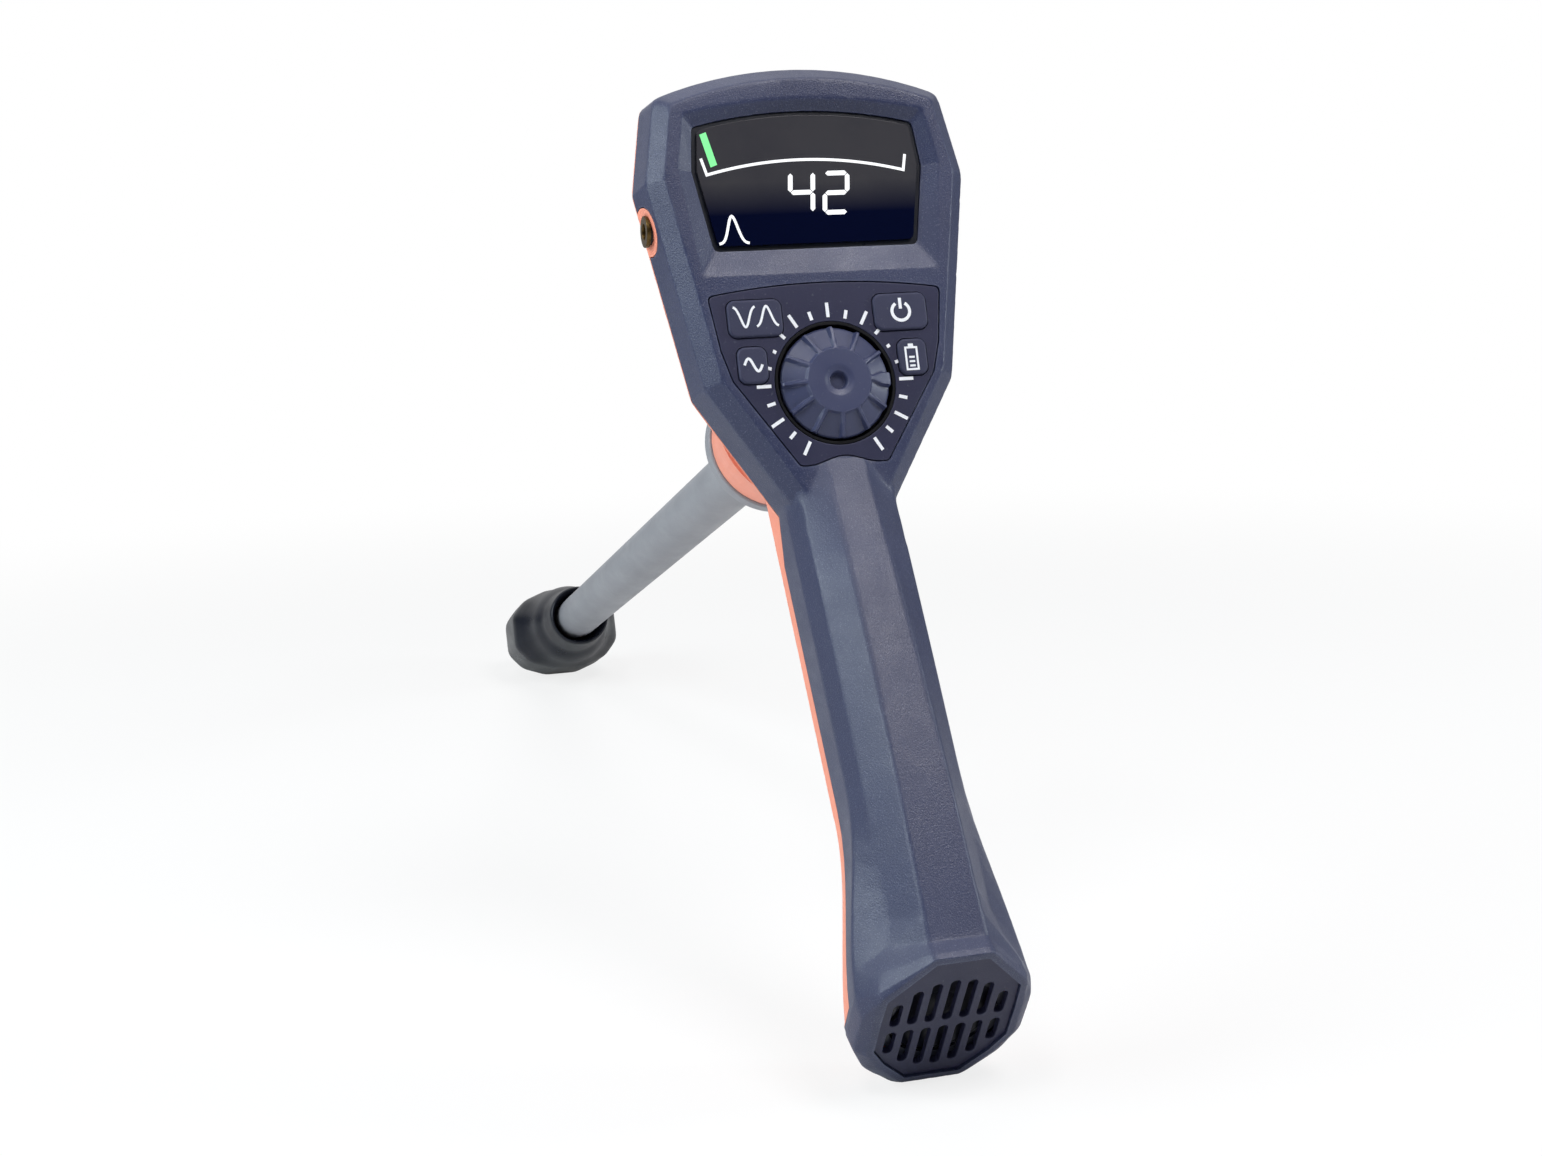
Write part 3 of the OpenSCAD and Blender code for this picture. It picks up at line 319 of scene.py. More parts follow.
def buildHandling():
    group, given, result = newGroup("handling", {"Smear Scale": 60.0}, ("Smear", "Dust"))
    place = objectPlace(group)
    smear = noise(group, stretched(group, place, handlingTexture["stretch"]), given["Smear Scale"], 6, 0.7)
    group.links.new(ramp(group, smear, *handlingTexture["smears"]), result["Smear"])
    dust = noise(group, place, handlingTexture["dustScale"], 2, 0.5)
    group.links.new(ramp(group, dust, *handlingTexture["dust"]), result["Dust"])
    return group


mouldedGrain = buildMouldedGrain()
edgeWearAndHighlight = buildEdgeWearAndHighlight()
handling = buildHandling()


# materials
def startMaterial(name):
    material, t = emptyMaterial(name)
    shader = t.nodes.new("ShaderNodeBsdfPrincipled")
    out = t.nodes.new("ShaderNodeOutputMaterial")
    t.links.new(shader.outputs[0], out.inputs["Surface"])
    return material, t, shader


def useGroup(t, group, values):
    g = t.nodes.new("ShaderNodeGroup")
    g.node_tree = group
    for label, value in values.items():
        g.inputs[label].default_value = value
    return g.outputs


def blendColour(t, factor, a, b, share=1.0):
    m = t.nodes.new("ShaderNodeMix")
    m.data_type = "RGBA"
    t.links.new(factor if share == 1 else math2(t, "MULTIPLY", factor, share), m.inputs["Factor"])
    for key, value in (("A", a), ("B", b)):
        socket = [s for s in m.inputs if s.name == key and s.type == "RGBA"][0]
        if isinstance(value, tuple):
            socket.default_value = value
        else:
            t.links.new(value, socket)
    return [s for s in m.outputs if s.type == "RGBA"][0]


def addBump(t, shader, height, strength, depth):
    bump = t.nodes.new("ShaderNodeBump")
    bump.inputs["Strength"].default_value = strength
    bump.inputs["Distance"].default_value = depth
    t.links.new(height, bump.inputs["Height"])
    t.links.new(bump.outputs["Normal"], shader.inputs["Normal"])


mouldedUsual = {"wearAndHighlight": None, "wearAndHighlightWidth": 0.0012, "dust": srgb(150, 152, 160), "dustShare": 0.1,
                "speckScale": 1.4, "bumpDepth": 0.00012, "ior": 1.47, "specular": 0.35}


def mouldedMaterial(name, own):
    look = {**mouldedUsual, **own}
    material, t, shader = startMaterial(name)
    scales = {"Grain Scale": look["grain"], "Speck Scale": look["grain"] * look["speckScale"]}
    grain = useGroup(t, mouldedGrain, scales)
    touch = useGroup(t, handling, {})
    colour = blendColour(t, grain["Cloud"], look["dark"], look["light"])
    colour = blendColour(t, grain["Speck"], colour, look["speck"], look["speckShare"])
    # edges made lighter, partly as wear and partly as a painted edge highlight
    if look["wearAndHighlight"]:
        wornAndLit = useGroup(t, edgeWearAndHighlight, {"Width": look["wearAndHighlightWidth"]})
        colour = blendColour(t, wornAndLit["Mask"], colour, look["wearAndHighlight"], look["wearAndHighlightShare"])
    colour = blendColour(t, touch["Dust"], colour, look["dust"], look["dustShare"])
    t.links.new(colour, shader.inputs["Base Color"])
    glossy, matt = look["rough"]
    t.links.new(ramp(t, touch["Smear"], 0, 1, matt, glossy), shader.inputs["Roughness"])
    addBump(t, shader, grain["Height"], look["bump"], look["bumpDepth"])
    shader.inputs["IOR"].default_value = look["ior"]
    shader.inputs["Specular IOR Level"].default_value = look["specular"]
    return material


navyPlastic = mouldedMaterial("navyPlastic", {
    "dark": srgb(36, 42, 71), "light": srgb(42, 49, 79), "speck": srgb(116, 120, 144), "speckShare": 0.36,
    "wearAndHighlight": srgb(100, 106, 128), "wearAndHighlightShare": 0.4, "grain": 2200, "rough": (0.36, 0.46), "bump": 0.85,
    "specular": 0.5})
navySmooth = mouldedMaterial("navySmooth", {
    "dark": srgb(31, 32, 56), "light": srgb(36, 37, 63), "speck": srgb(78, 80, 104), "speckShare": 0.12,
    "wearAndHighlight": srgb(92, 96, 120), "wearAndHighlightShare": 0.3, "wearAndHighlightWidth": 0.0006, "grain": 3600, "rough": (0.4, 0.5),
    "bump": 0.3})
knobPlastic = mouldedMaterial("knobPlastic", {
    "dark": srgb(48, 53, 82), "light": srgb(55, 60, 90), "speck": srgb(88, 90, 112), "speckShare": 0.1,
    "wearAndHighlight": srgb(104, 108, 130), "wearAndHighlightShare": 0.35, "wearAndHighlightWidth": 0.0006, "grain": 3600,
    "rough": (0.34, 0.44), "bump": 0.25, "specular": 0.5})
navyRubber = mouldedMaterial("navyRubber", {
    "dark": srgb(39, 41, 64), "light": srgb(46, 48, 72), "speck": srgb(80, 82, 104), "speckShare": 0.1,
    "wearAndHighlight": srgb(86, 90, 114), "wearAndHighlightShare": 0.35, "wearAndHighlightWidth": 0.0008, "grain": 3000, "rough": (0.5, 0.62),
    "bump": 0.35})
orangePlastic = mouldedMaterial("orangePlastic", {
    "dark": srgb(227, 138, 114), "light": srgb(237, 150, 126), "speck": srgb(248, 184, 162),
    "speckShare": 0.25, "wearAndHighlight": srgb(248, 176, 150), "wearAndHighlightShare": 0.4, "dust": srgb(240, 200, 180),
    "grain": 2400, "rough": (0.42, 0.55), "bump": 0.4})
greyPlastic = mouldedMaterial("greyPlastic", {
    "dark": srgb(127, 128, 134), "light": srgb(139, 140, 146), "speck": srgb(172, 174, 180),
    "speckShare": 0.2, "wearAndHighlight": srgb(176, 178, 184), "wearAndHighlightShare": 0.3, "dust": srgb(190, 190, 194),
    "grain": 2200, "rough": (0.36, 0.5), "bump": 0.25})
blackPlastic = mouldedMaterial("blackPlastic", {
    "dark": srgb(17, 18, 22), "light": srgb(23, 24, 29), "speck": srgb(52, 53, 60), "speckShare": 0.15,
    "wearAndHighlight": srgb(60, 62, 70), "wearAndHighlightShare": 0.3, "wearAndHighlightWidth": 0.0006, "grain": 3000, "rough": (0.4, 0.52),
    "bump": 0.3})
# black well plastic, darker and duller than the other black parts as painted shade in the gap round the
# knob
wellBlackPaintedShade = mouldedMaterial("wellBlackPaintedShade", {
    "dark": srgb(8, 8, 11), "light": srgb(12, 12, 16), "speck": srgb(30, 30, 36), "speckShare": 0.1,
    "dustShare": 0.04, "grain": 3000, "rough": (0.5, 0.6), "bump": 0.2, "specular": 0.15})
blackRubber = mouldedMaterial("blackRubber", {
    "dark": srgb(10, 13, 22), "light": srgb(16, 20, 32), "speck": srgb(40, 41, 48), "speckShare": 0.15,
    "wearAndHighlight": srgb(60, 62, 70), "wearAndHighlightShare": 0.3, "wearAndHighlightWidth": 0.002, "dust": srgb(110, 110, 116),
    "grain": 1700, "rough": (0.26, 0.36), "bump": 0.25, "specular": 0.28})

metalTexture = {"streakScale": 1800.0, "stainScale": 140.0, "bump": 0.2, "bumpDepth": 0.00004}


def metalMaterial(name, dark, light, rough, brush):
    material, t, shader = startMaterial(name)
    place = objectPlace(t)
    streak = noise(t, stretched(t, place, brush), metalTexture["streakScale"], 4, 0.6)
    stain = noise(t, place, metalTexture["stainScale"], 4, 0.6)
    t.links.new(blendColour(t, stain, dark, light), shader.inputs["Base Color"])
    t.links.new(ramp(t, streak, 0.3, 0.7, *rough), shader.inputs["Roughness"])
    addBump(t, shader, streak, metalTexture["bump"], metalTexture["bumpDepth"])
    shader.inputs["Metallic"].default_value = 1
    return material


# green lacquer over a pattern of tracks
lacquer = {"trackScale": 420, "trackGap": 0.06, "glossScale": 300.0, "rough": (0.25, 0.42)}


def boardMaterial():
    material, t, shader = startMaterial("boardLacquer")
    place = objectPlace(t)
    tracks = t.nodes.new("ShaderNodeTexBrick")
    tracks.inputs["Scale"].default_value = lacquer["trackScale"]
    tracks.inputs["Mortar Size"].default_value = lacquer["trackGap"]
    tracks.inputs["Color1"].default_value = srgb(20, 86, 52)
    tracks.inputs["Color2"].default_value = srgb(24, 98, 60)
    tracks.inputs["Mortar"].default_value = srgb(52, 128, 84)
    t.links.new(place, tracks.inputs["Vector"])
    t.links.new(tracks.outputs["Color"], shader.inputs["Base Color"])
    gloss = noise(t, place, lacquer["glossScale"], 3)
    t.links.new(ramp(t, gloss, 0.3, 0.7, *lacquer["rough"]), shader.inputs["Roughness"])
    return material


# a mottled matt surface, darker where the noise is low
def mottledMaterial(name, scale, detail, noiseRough, dark, light, rough):
    material, t, shader = startMaterial(name)
    mottle = noise(t, objectPlace(t), scale, detail, noiseRough)
    t.links.new(blendColour(t, mottle, dark, light), shader.inputs["Base Color"])
    t.links.new(ramp(t, mottle, 0.3, 0.7, *rough), shader.inputs["Roughness"])
    return material


# smoked lens: navy black, with a painted grey reflection over its upper part, faint smears in the gloss
lens = {"reflectionFrom": (0, 52, -2), "reflectionTo": (0, 62, -2), "low": srgb(3, 7, 32), "high": srgb(56, 55, 59),
        "cloudScale": 45.0, "clouds": (0.8, 1.15), "smearScale": 40.0, "rough": (0.06, 0.12),
        "specular": 0.1}


def lensMaterial():
    material, t, shader = startMaterial("smokedLens")
    place = objectPlace(t)
    split = t.nodes.new("ShaderNodeSeparateXYZ")
    t.links.new(place, split.inputs[0])
    low, high = [(fromFace @ Vector(lens[end])).z for end in ("reflectionFrom", "reflectionTo")]
    cloud = ramp(t, noise(t, place, lens["cloudScale"], 4, 0.6), 0.2, 0.8, *lens["clouds"])
    # the upper part of the lens turns to the grey high colour as a painted reflection, broken up by cloud
    # noise
    paintedReflection = math2(t, "MULTIPLY", ramp(t, split.outputs["Z"], low, high), cloud)
    t.links.new(blendColour(t, paintedReflection, lens["low"], lens["high"]), shader.inputs["Base Color"])
    touch = useGroup(t, handling, {"Smear Scale": lens["smearScale"]})
    t.links.new(ramp(t, touch["Smear"], 0, 1, *lens["rough"]), shader.inputs["Roughness"])
    shader.inputs["Specular IOR Level"].default_value = lens["specular"]
    return material


# lit segments, a little uneven as a back light is
lit = {"cellScale": 500.0, "strength": 0.85, "rough": 0.4}


def litMaterial(name, base, bright, dim):
    material, t, shader = startMaterial(name)
    cells = noise(t, objectPlace(t), lit["cellScale"], 2)
    t.links.new(blendColour(t, cells, dim, bright), shader.inputs["Emission Color"])
    shader.inputs["Base Color"].default_value = base
    shader.inputs["Emission Strength"].default_value = lit["strength"]
    shader.inputs["Roughness"].default_value = lit["rough"]
    return material


steel = metalMaterial("zincSteel", srgb(150, 152, 156), srgb(192, 194, 198), (0.26, 0.42), (1, 1, 6))
brass = metalMaterial("jackBrass", srgb(58, 46, 28), srgb(118, 94, 54), (0.3, 0.45), (6, 1, 1))
copper = metalMaterial("coilCopper", srgb(150, 78, 44), srgb(196, 116, 72), (0.3, 0.45), (1, 1, 1))
board = boardMaterial()
ferrite = mottledMaterial("ferriteGrey", 1500.0, 6, 0.7, srgb(42, 42, 44), srgb(78, 78, 80), (0.5, 0.75))
smokedLens = lensMaterial()
litWhite = litMaterial("litWhite", (0.3, 0.3, 0.3, 1), (1, 1, 1, 1), (0.86, 0.9, 0.96, 1))
litGreen = litMaterial("litGreen", (0.1, 0.3, 0.12, 1), srgb(120, 246, 150), srgb(92, 226, 128))
whiteInk = mottledMaterial(
    "whiteInk", 1600.0, 4, 0.6, srgb(214, 216, 222), srgb(236, 238, 242), (0.45, 0.6))
print("materials built")


# meshes and pieces
def meshFrom(bm, name):
    mesh = bpy.data.meshes.new(name)
    bm.to_mesh(mesh)
    bm.free()
    return mesh


def smoothMesh(mesh, sharpFrom):
    mesh.polygons.foreach_set("use_smooth", [True] * len(mesh.polygons))
    mesh.set_sharp_from_angle(angle=math.radians(sharpFrom))


def settle(piece):
    depsgraph = bpy.context.evaluated_depsgraph_get()
    mesh = bpy.data.meshes.new_from_object(
        piece.evaluated_get(depsgraph), preserve_all_data_layers=True, depsgraph=depsgraph)
    piece.modifiers.clear()
    old = piece.data
    piece.data = mesh
    mesh.name = piece.name
    bpy.data.meshes.remove(old)


def newPiece(name, mesh, material, body="housing"):
    piece = bpy.data.objects.new(name, mesh)
    scene.collection.objects.link(piece)
    mesh.materials.clear()
    mesh.materials.append(material)
    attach(piece, body)
    return piece


# a closed skin through rings of (radius, height) points, with a middle point at either end
def loftRings(name, turns, rings, firstZ, lastZ):
    bm = bmesh.new()
    first = bm.verts.new((0, 0, firstZ))
    last = bm.verts.new((0, 0, lastZ))
    loops = [[bm.verts.new((r * math.cos(t), r * math.sin(t), z)) for t, (r, z) in zip(turns, ring)]
             for ring in rings]
    for k in range(len(turns)):
        j = (k + 1) % len(turns)
        bm.faces.new((first, loops[0][k], loops[0][j]))
        for one, two in zip(loops, loops[1:]):
            bm.faces.new((one[k], two[k], two[j], one[j]))
        bm.faces.new((last, loops[-1][j], loops[-1][k]))
    bmesh.ops.recalc_face_normals(bm, faces=bm.faces[:])
    return meshFrom(bm, name)


# pieces that hide a face or an edge of another from outside
outerNodes = [
    "front_shell", "rear_shell", "keypad_panel", "dial_well", "dial_knob", "display_window",
    "speaker_grille", "battery_cover", "wand_collar", "wand_tube", "boot", "headphone_jack",
    "peak_null_button", "power_button", "frequency_button", "battery_button", "main_board", "battery_tray"]


def treeOf(names):
    points, faces = [], []
    for n in names:
        mesh = nodes[n].data
        base = len(points)
        points += [v.co.copy() for v in mesh.vertices]
        faces += [[base + i for i in p.vertices] for p in mesh.polygons]
    return BVHTree.FromPolygons(points, faces)


outerTree = treeOf(outerNodes)
rayStart = 0.00006  # metres off the surface


def isOpen(point, direction):
    return outerTree.ray_cast(point + direction * rayStart, direction)[0] is None


# rounded copies of the CAD pieces: lengths in metres, angles in degrees, fineWidth in millimetres
rounding = {"mergeWithin": 3e-6, "dropBelow": 2e-6, "flatWithin": 0.5, "edgeFrom": 12, "fineWidth": 0.3,
            "smoothTo": 32, "flatWeight": 80}


# a merged copy of a CAD piece, with its flat faces whole again
def mergedCopy(node):
    bm = bmesh.new()
    bm.from_mesh(nodes[node].data)
    bmesh.ops.remove_doubles(bm, verts=bm.verts[:], dist=rounding["mergeWithin"])
    bmesh.ops.dissolve_degenerate(bm, edges=bm.edges[:], dist=rounding["dropBelow"])
    bmesh.ops.dissolve_limit(
        bm, angle_limit=math.radians(rounding["flatWithin"]), use_dissolve_boundaries=False,
        verts=bm.verts[:], edges=bm.edges[:], delimit=set())
    bm.normal_update()
    return bm


# outer edges rounded to the width in millimetres that widthAt gives at each place
def roundEdges(bm, widthAt):
    layer = bm.edges.layers.float.new("roundWidth")
    widths = set()
    for e in bm.edges:
        if len(e.link_faces) != 2 or e.calc_face_angle(0) < math.radians(rounding["edgeFrom"]):
            continue
        middle = (e.verts[0].co + e.verts[1].co) / 2
        outward = (e.link_faces[0].normal + e.link_faces[1].normal).normalized()
        width = widthAt(toFace @ middle)
        if width and isOpen(middle, outward):
            e[layer] = width
            widths.add(e[layer])
    for width in sorted(widths, reverse=True):
        chosen = [e for e in bm.edges if e[layer] == width]
        made = bmesh.ops.bevel(
            bm, geom=chosen, offset=width / perMetre, offset_type="OFFSET", profile=0.5, affect="EDGES",
            segments=3 if width > rounding["fineWidth"] else 2, clamp_overlap=False, loop_slide=False)
        for e in {e for f in made["faces"] for e in f.edges}:
            e[layer] = 0
    bm.edges.layers.float.remove(layer)


def finishCopy(bm, node, name, material, body="housing"):
    mesh = meshFrom(bm, name)
    if "custom_normal" in mesh.attributes:
        mesh.attributes.remove(mesh.attributes["custom_normal"])
    smoothMesh(mesh, rounding["smoothTo"])
    piece = newPiece(name, mesh, material, body)
    normals = piece.modifiers.new("normals", "WEIGHTED_NORMAL")
    normals.keep_sharp = True
    normals.weight = rounding["flatWeight"]
    settle(piece)
    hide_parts(node)
    print(name, "softened,", len(piece.data.polygons), "faces")


# the shells: how far a corner moves in each round, and where along the face each share holds
shell = {"head": 0.1, "neck": 0.4, "grip": 0.08, "end": 0.35, "back": 0.2, "headFrom": -14, "neckFrom": -50,
         "endFrom": -150, "endOver": 16, "grain": 2.1, "frontCrease": 1.0, "backCrease": 1.5, "passes": 10,
         "rounds": 24, "creaseFrom": 0.12, "flatBelow": 0.004, "patchArea": 2e-5, "shortest": 1e-4}


# faces on the same corners lie on each other: pairs of them go
def dropTwins(bm):
    groups = {}
    for f in bm.faces:
        groups.setdefault(frozenset(f.verts), []).append(f)
    twins = [f for g in groups.values() if len(g) > 1 for f in g[len(g) % 2:]]
    bmesh.ops.delete(bm, geom=twins, context="FACES")


# small patches amid marked faces are marked with them
def markPatches(bm, layer):
    left = {f for f in bm.faces if not f[layer]}
    while left:
        patch, border = [], [left.pop()]
        while border:
            f = border.pop()
            patch.append(f)
            beside = {g for e in f.edges for g in e.link_faces} & left
            left -= beside
            border += beside
        if sum(f.calc_area() for f in patch) < shell["patchArea"]:
            for f in patch:
                f[layer] = 1


def isInner(e, layer):
    return len(e.link_faces) == 2 and all(f[layer] for f in e.link_faces)


# marked faces become small triangles, smaller at the creases
def splitFaces(bm, layer, creaseGrain):
    for step in range(shell["passes"]):
        inner = [e for e in bm.edges if isInner(e, layer)]
        creased = {v for e in inner if e.calc_face_angle(0) > shell["creaseFrom"] for v in e.verts}
        sized = [(e, e.calc_length() * perMetre) for e in bm.edges if any(f[layer] for f in e.link_faces)]
        wide = [(e, size) for e, size in sized if size > creaseGrain]
        long = [e for e, size in wide if size > shell["grain"] or any(v in creased for v in e.verts)]
        if not long:
            break
        bmesh.ops.subdivide_edges(bm, edges=long, cuts=1)
        bmesh.ops.triangulate(bm, faces=[f for f in bm.faces if len(f.verts) > 3])
        dropTwins(bm)
        bm.normal_update()
        eased = [f for f in bm.faces if f[layer]]
        flat = [e for e in bm.edges if isInner(e, layer) and e.calc_face_angle(1) < shell["flatBelow"]]
        bmesh.ops.beautify_fill(bm, faces=eased, edges=flat)


# corners amid marked faces move towards their neighbours, and the borders stay
def relaxCorners(bm, layer, easeAt):
    bm.verts.index_update()
    points = numpy.array([v.co for v in bm.verts])
    free = [all(f[layer] for f in v.link_faces) for v in bm.verts]
    ease = numpy.array([easeAt(toFace @ v.co) if ok else 0 for v, ok in zip(bm.verts, free)])[:, None]
    pairs = [[v.index for v in e.verts] for e in bm.edges]
    one, two = numpy.array([pair for pair in pairs if any(free[i] for i in pair)]).T
    gaps = numpy.linalg.norm(points[one] - points[two], axis=1)
    pull = 1 / numpy.maximum(gaps, shell["shortest"])[:, None]
    total = numpy.full((len(points), 1), 1e-9)
    numpy.add.at(total, one, pull)
    numpy.add.at(total, two, pull)
    for step in range(shell["rounds"]):
        around = numpy.zeros_like(points)
        numpy.add.at(around, one, pull * points[two])
        numpy.add.at(around, two, pull * points[one])
        points += ease * (around / total - points)
    for v, place, ok in zip(bm.verts, points, free):
        if ok:
            v.co = place


# the soft look of a moulding, on every face that can be seen from outside
def easedCopy(node, name, material, easeAt, creaseGrain):
    bm = mergedCopy(node)
    isEased = bm.faces.layers.int.new("isEased")
    bmesh.ops.triangulate(bm, faces=bm.faces[:])
    for f in bm.faces:
        f[isEased] = 1 if isOpen(f.calc_center_median(), f.normal) else 0
    markPatches(bm, isEased)
    splitFaces(bm, isEased, creaseGrain)
    relaxCorners(bm, isEased, easeAt)
    bm.faces.layers.int.remove(isEased)
    bm.normal_update()
    finishCopy(bm, node, name, material)


def frontEase(p):
    if p.y > shell["headFrom"]:
        return shell["head"]
    if p.y > shell["neckFrom"]:
        return shell["neck"]
    into = min(1, max(0, (shell["endFrom"] - p.y) / shell["endOver"]))
    return shell["grip"] + (shell["end"] - shell["grip"]) * into


def backEase(p):
    return shell["back"]


easedCopy("front_shell", "frontShell", navyPlastic, frontEase, shell["frontCrease"])
easedCopy("rear_shell", "rearShell", orangePlastic, backEase, shell["backCrease"])


def softCopy(node, name, material, widthAt, body="housing"):
    bm = mergedCopy(node)
    roundEdges(bm, widthAt)
    finishCopy(bm, node, name, material, body)


# node: piece, material, slot, width of its rounded edges in millimetres
softPieces = {
    "keypad_panel": ("keypadPanel", navySmooth, "navy_plastic", 0.3),
    "dial_well": ("dialWell", wellBlackPaintedShade, "black_plastic", 0.2),
    "speaker_grille": ("speakerGrille", navySmooth, "navy_plastic", 0.3),
    "battery_cover": ("batteryCover", orangePlastic, "orange_plastic", 0.3),
    "wand_collar": ("wandCollar", greyPlastic, "grey_plastic", 0.8),
    "wand_tube": ("wandTube", greyPlastic, "grey_plastic", 0),
    "headphone_jack": ("headphoneJack", blackPlastic, "black_plastic", 0.2),
    "jack_nut": ("jackNut", brass, "brass", 0.2),
    "display_window": ("displayLens", smokedLens, "black_glass", 0.2),
}
for node, (pieceName, material, slot, width) in softPieces.items():
    softCopy(node, pieceName, material, lambda p: width)

# the keys: only the edges that stand above the panel are rounded
keys = {
    "round": 0.8,
    "above": 0.5,
    "pieces": {"peak_null_button": "peakNullButton", "power_button": "powerButton",
               "frequency_button": "frequencyButton", "battery_button": "batteryButton"},
}


def keyRound(p):
    return keys["round"] if p.z > keys["above"] else 0


for button, pieceName in keys["pieces"].items():
    softCopy(button, pieceName, navyRubber, keyRound, button)

# the boot: a funnel round the tube, and a round neck that swells into a wide end with twelve soft flats
boot = {
    "mouth": 64, "lip": (0.5, 3), "floor": 9, "boreR": 10.1, "halfWidth": 26.2, "halfHeight": 20,
    "around": 96, "flats": ((1, 0.4), (0.745, 0.79), (0.305, 1)), "smoothing": 3, "sharpFrom": 50,
    # distance from the end, radius while round, share of the flats, share of the full size
    "profile": (
        (77.6, 13.0, 0, 1), (78, 13.5, 0, 1), (77.7, 14.0, 0, 1), (76.6, 14.4, 0, 1), (74, 14.6, 0, 1),
        (68, 14.9, 0, 1), (62, 15.3, 0, 1), (59.5, 15.7, 0, 1), (57.5, 16.5, 0, 1), (55, 17.6, 0, 1),
        (52, 18.5, 0, 1), (50.5, 18.8, 0, 1), (48.5, 19.1, 0.02, 1), (47, 19.2, 0.06, 1),
        (44, 19.1, 0.2, 1), (40, 19.0, 0.5, 1), (36, 19.0, 0.82, 1), (33.5, 19.0, 0.97, 1),
        (31, 19.0, 1, 1), (20, 19.0, 1, 1), (8, 19.0, 1, 1), (5.6, 19, 1, 0.996), (4.2, 19, 1, 0.978),
        (1.2, 19, 1, 0.82), (0.4, 19, 1, 0.775), (0.0, 19, 1, 0.74), (0.0, 19, 1, 0.4)),
}


# from the middle to the flats, in one direction
def bootRadius(turn):
    corners = [(x * boot["halfWidth"], y * boot["halfHeight"]) for x, y in boot["flats"]]
    corners += [(-x, y) for x, y in corners[::-1]]
    corners += [(-x, -y) for x, y in corners]
    heading = (math.cos(turn), math.sin(turn))
    reach = []
    for (x0, y0), (x1, y1) in zip(corners, corners[1:] + corners[:1]):
        across = (x1 - x0) * heading[1] - (y1 - y0) * heading[0]
        if abs(across) > 1e-9:
            along = ((x1 - x0) * -y0 + (y1 - y0) * x0) / across
            if along > 0:
                reach.append(along)
    return min(reach)


def makeBoot():
    around = boot["around"]
    turns = [2 * math.pi * (k + 0.5) / around for k in range(around)]
    outline = [bootRadius(t) for t in turns]
    for step in range(boot["smoothing"]):
        sides = zip(outline[-1:] + outline[:-1], outline, outline[1:] + outline[:1])
        outline = [min(here, (before + 2 * here + after) / 4) for before, here, after in sides]
    bore, mouth = boot["boreR"], boot["mouth"]
    lipWide, lipHigh = boot["lip"]
    inner = [(bore, boot["floor"]), (bore, mouth), (bore + lipWide, mouth + lipHigh)]
    rings = [[point] * around for point in inner]
    for d, r, share, size in boot["profile"]:
        rings.append([(r + (wide * size - r) * share, d) for wide in outline])
    mesh = loftRings("rubberBoot", turns, rings, boot["floor"], 0)
    end = next(m for m in frame["record"]["mounts"] if m["name"] == "boot_end")
    outward = Vector(end["axis"]).normalized()
    side = Vector((1, 0, 0))
    turnTo = Matrix((side, side.cross(outward), -outward)).transposed().to_4x4()
    mesh.transform(Matrix.Translation(end["pos_m"]) @ turnTo @ Matrix.Scale(1 / perMetre, 4))
    smoothMesh(mesh, boot["sharpFrom"])
    piece = newPiece("rubberBoot", mesh, blackRubber, "housing")
    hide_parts("boot")


makeBoot()
print("boot made")

hidden = {
    "dial_shaft": steel, "potentiometer": board, "potentiometer_nut": steel, "window_gasket": blackRubber,
    "display_module": steel, "main_board": board, "tactile_switches": blackPlastic,
    "speaker_gasket": blackRubber, "speaker_basket": steel, "speaker_cone": blackRubber,
    "speaker_magnet": steel, "battery_tray": blackPlastic, "battery_cells": steel,
    "battery_contacts": brass, "cover_screw": steel, "shell_screws": steel, "collar_seal": blackRubber,
    "tube_nut": steel, "ferrite_rod": ferrite, "coil_former": blackPlastic, "antenna_coil": copper,
    "rod_spacers": blackPlastic, "coil_lead": blackRubber, "tube_plug": blackPlastic,
}
for node, material in hidden.items():
    nodes[node].data.materials.clear()
    nodes[node].data.materials.append(material)
print("CAD pieces dressed")

# the knob: a flat top with a dimple, and twelve sunken petals between thin ridges
knob = {
    "petals": 12, "outerR": 16.6, "topR": 9.6, "topZ": 4.0, "topSoft": 0.8, "shoulderZ": 1.5,
    "petalZ": -0.5, "ridgeHalf": 0.35, "pointerHalf": 1.7, "pointerTip": 2, "flank": 0.6,
    "petalStep": 0.7, "stepEdge": (-0.1, 0.5), "dimpleR": 2.9, "dimpleRim": 4.9, "dimpleDepth": 2.5,
    "rimDepth": 0.5, "dimpleWall": 0.7, "edgeWidth": 0.6, "edgeDrop": 0.35, "around": 288, "sharpFrom": 38,
    # radii of the rings over the dimple, the top's edge, the petals and the rim
    "dimpleRings": (0.6, 1.2, 1.9, 2.2, 2.35, 2.5, 2.65, 2.8, 2.95, 3.2, 3.5, 3.8, 4.1, 4.4, 4.7, 5),
    "topRings": (7, 8.6, 9.2, 9.5, 9.65, 9.8, 9.95, 10.1, 10.25, 10.4),
    "petalRings": [10.4 + k * 0.35 for k in range(1, 17)],
    "rimRings": (16.2, 16.4, 16.52),
    # heights down the outside, the foot, then radius and height up the hollow underneath
    "sideZ": (-1.2, -2.4, -4.1), "footIn": 0.2, "footZ": -4.3,
    "hollow": ((11.8, -4.3), (11.6, -4.1), (11.6, 1.2), (5.4, 1.2), (5.4, -1.4), (3.05, -1.4), (3.05, 1.2)),
    "hollowZ": 1.2,
}


def easeBetween(x, low, high):
    k = min(1, max(0, (x - low) / (high - low)))
    return k * k * (3 - 2 * k)


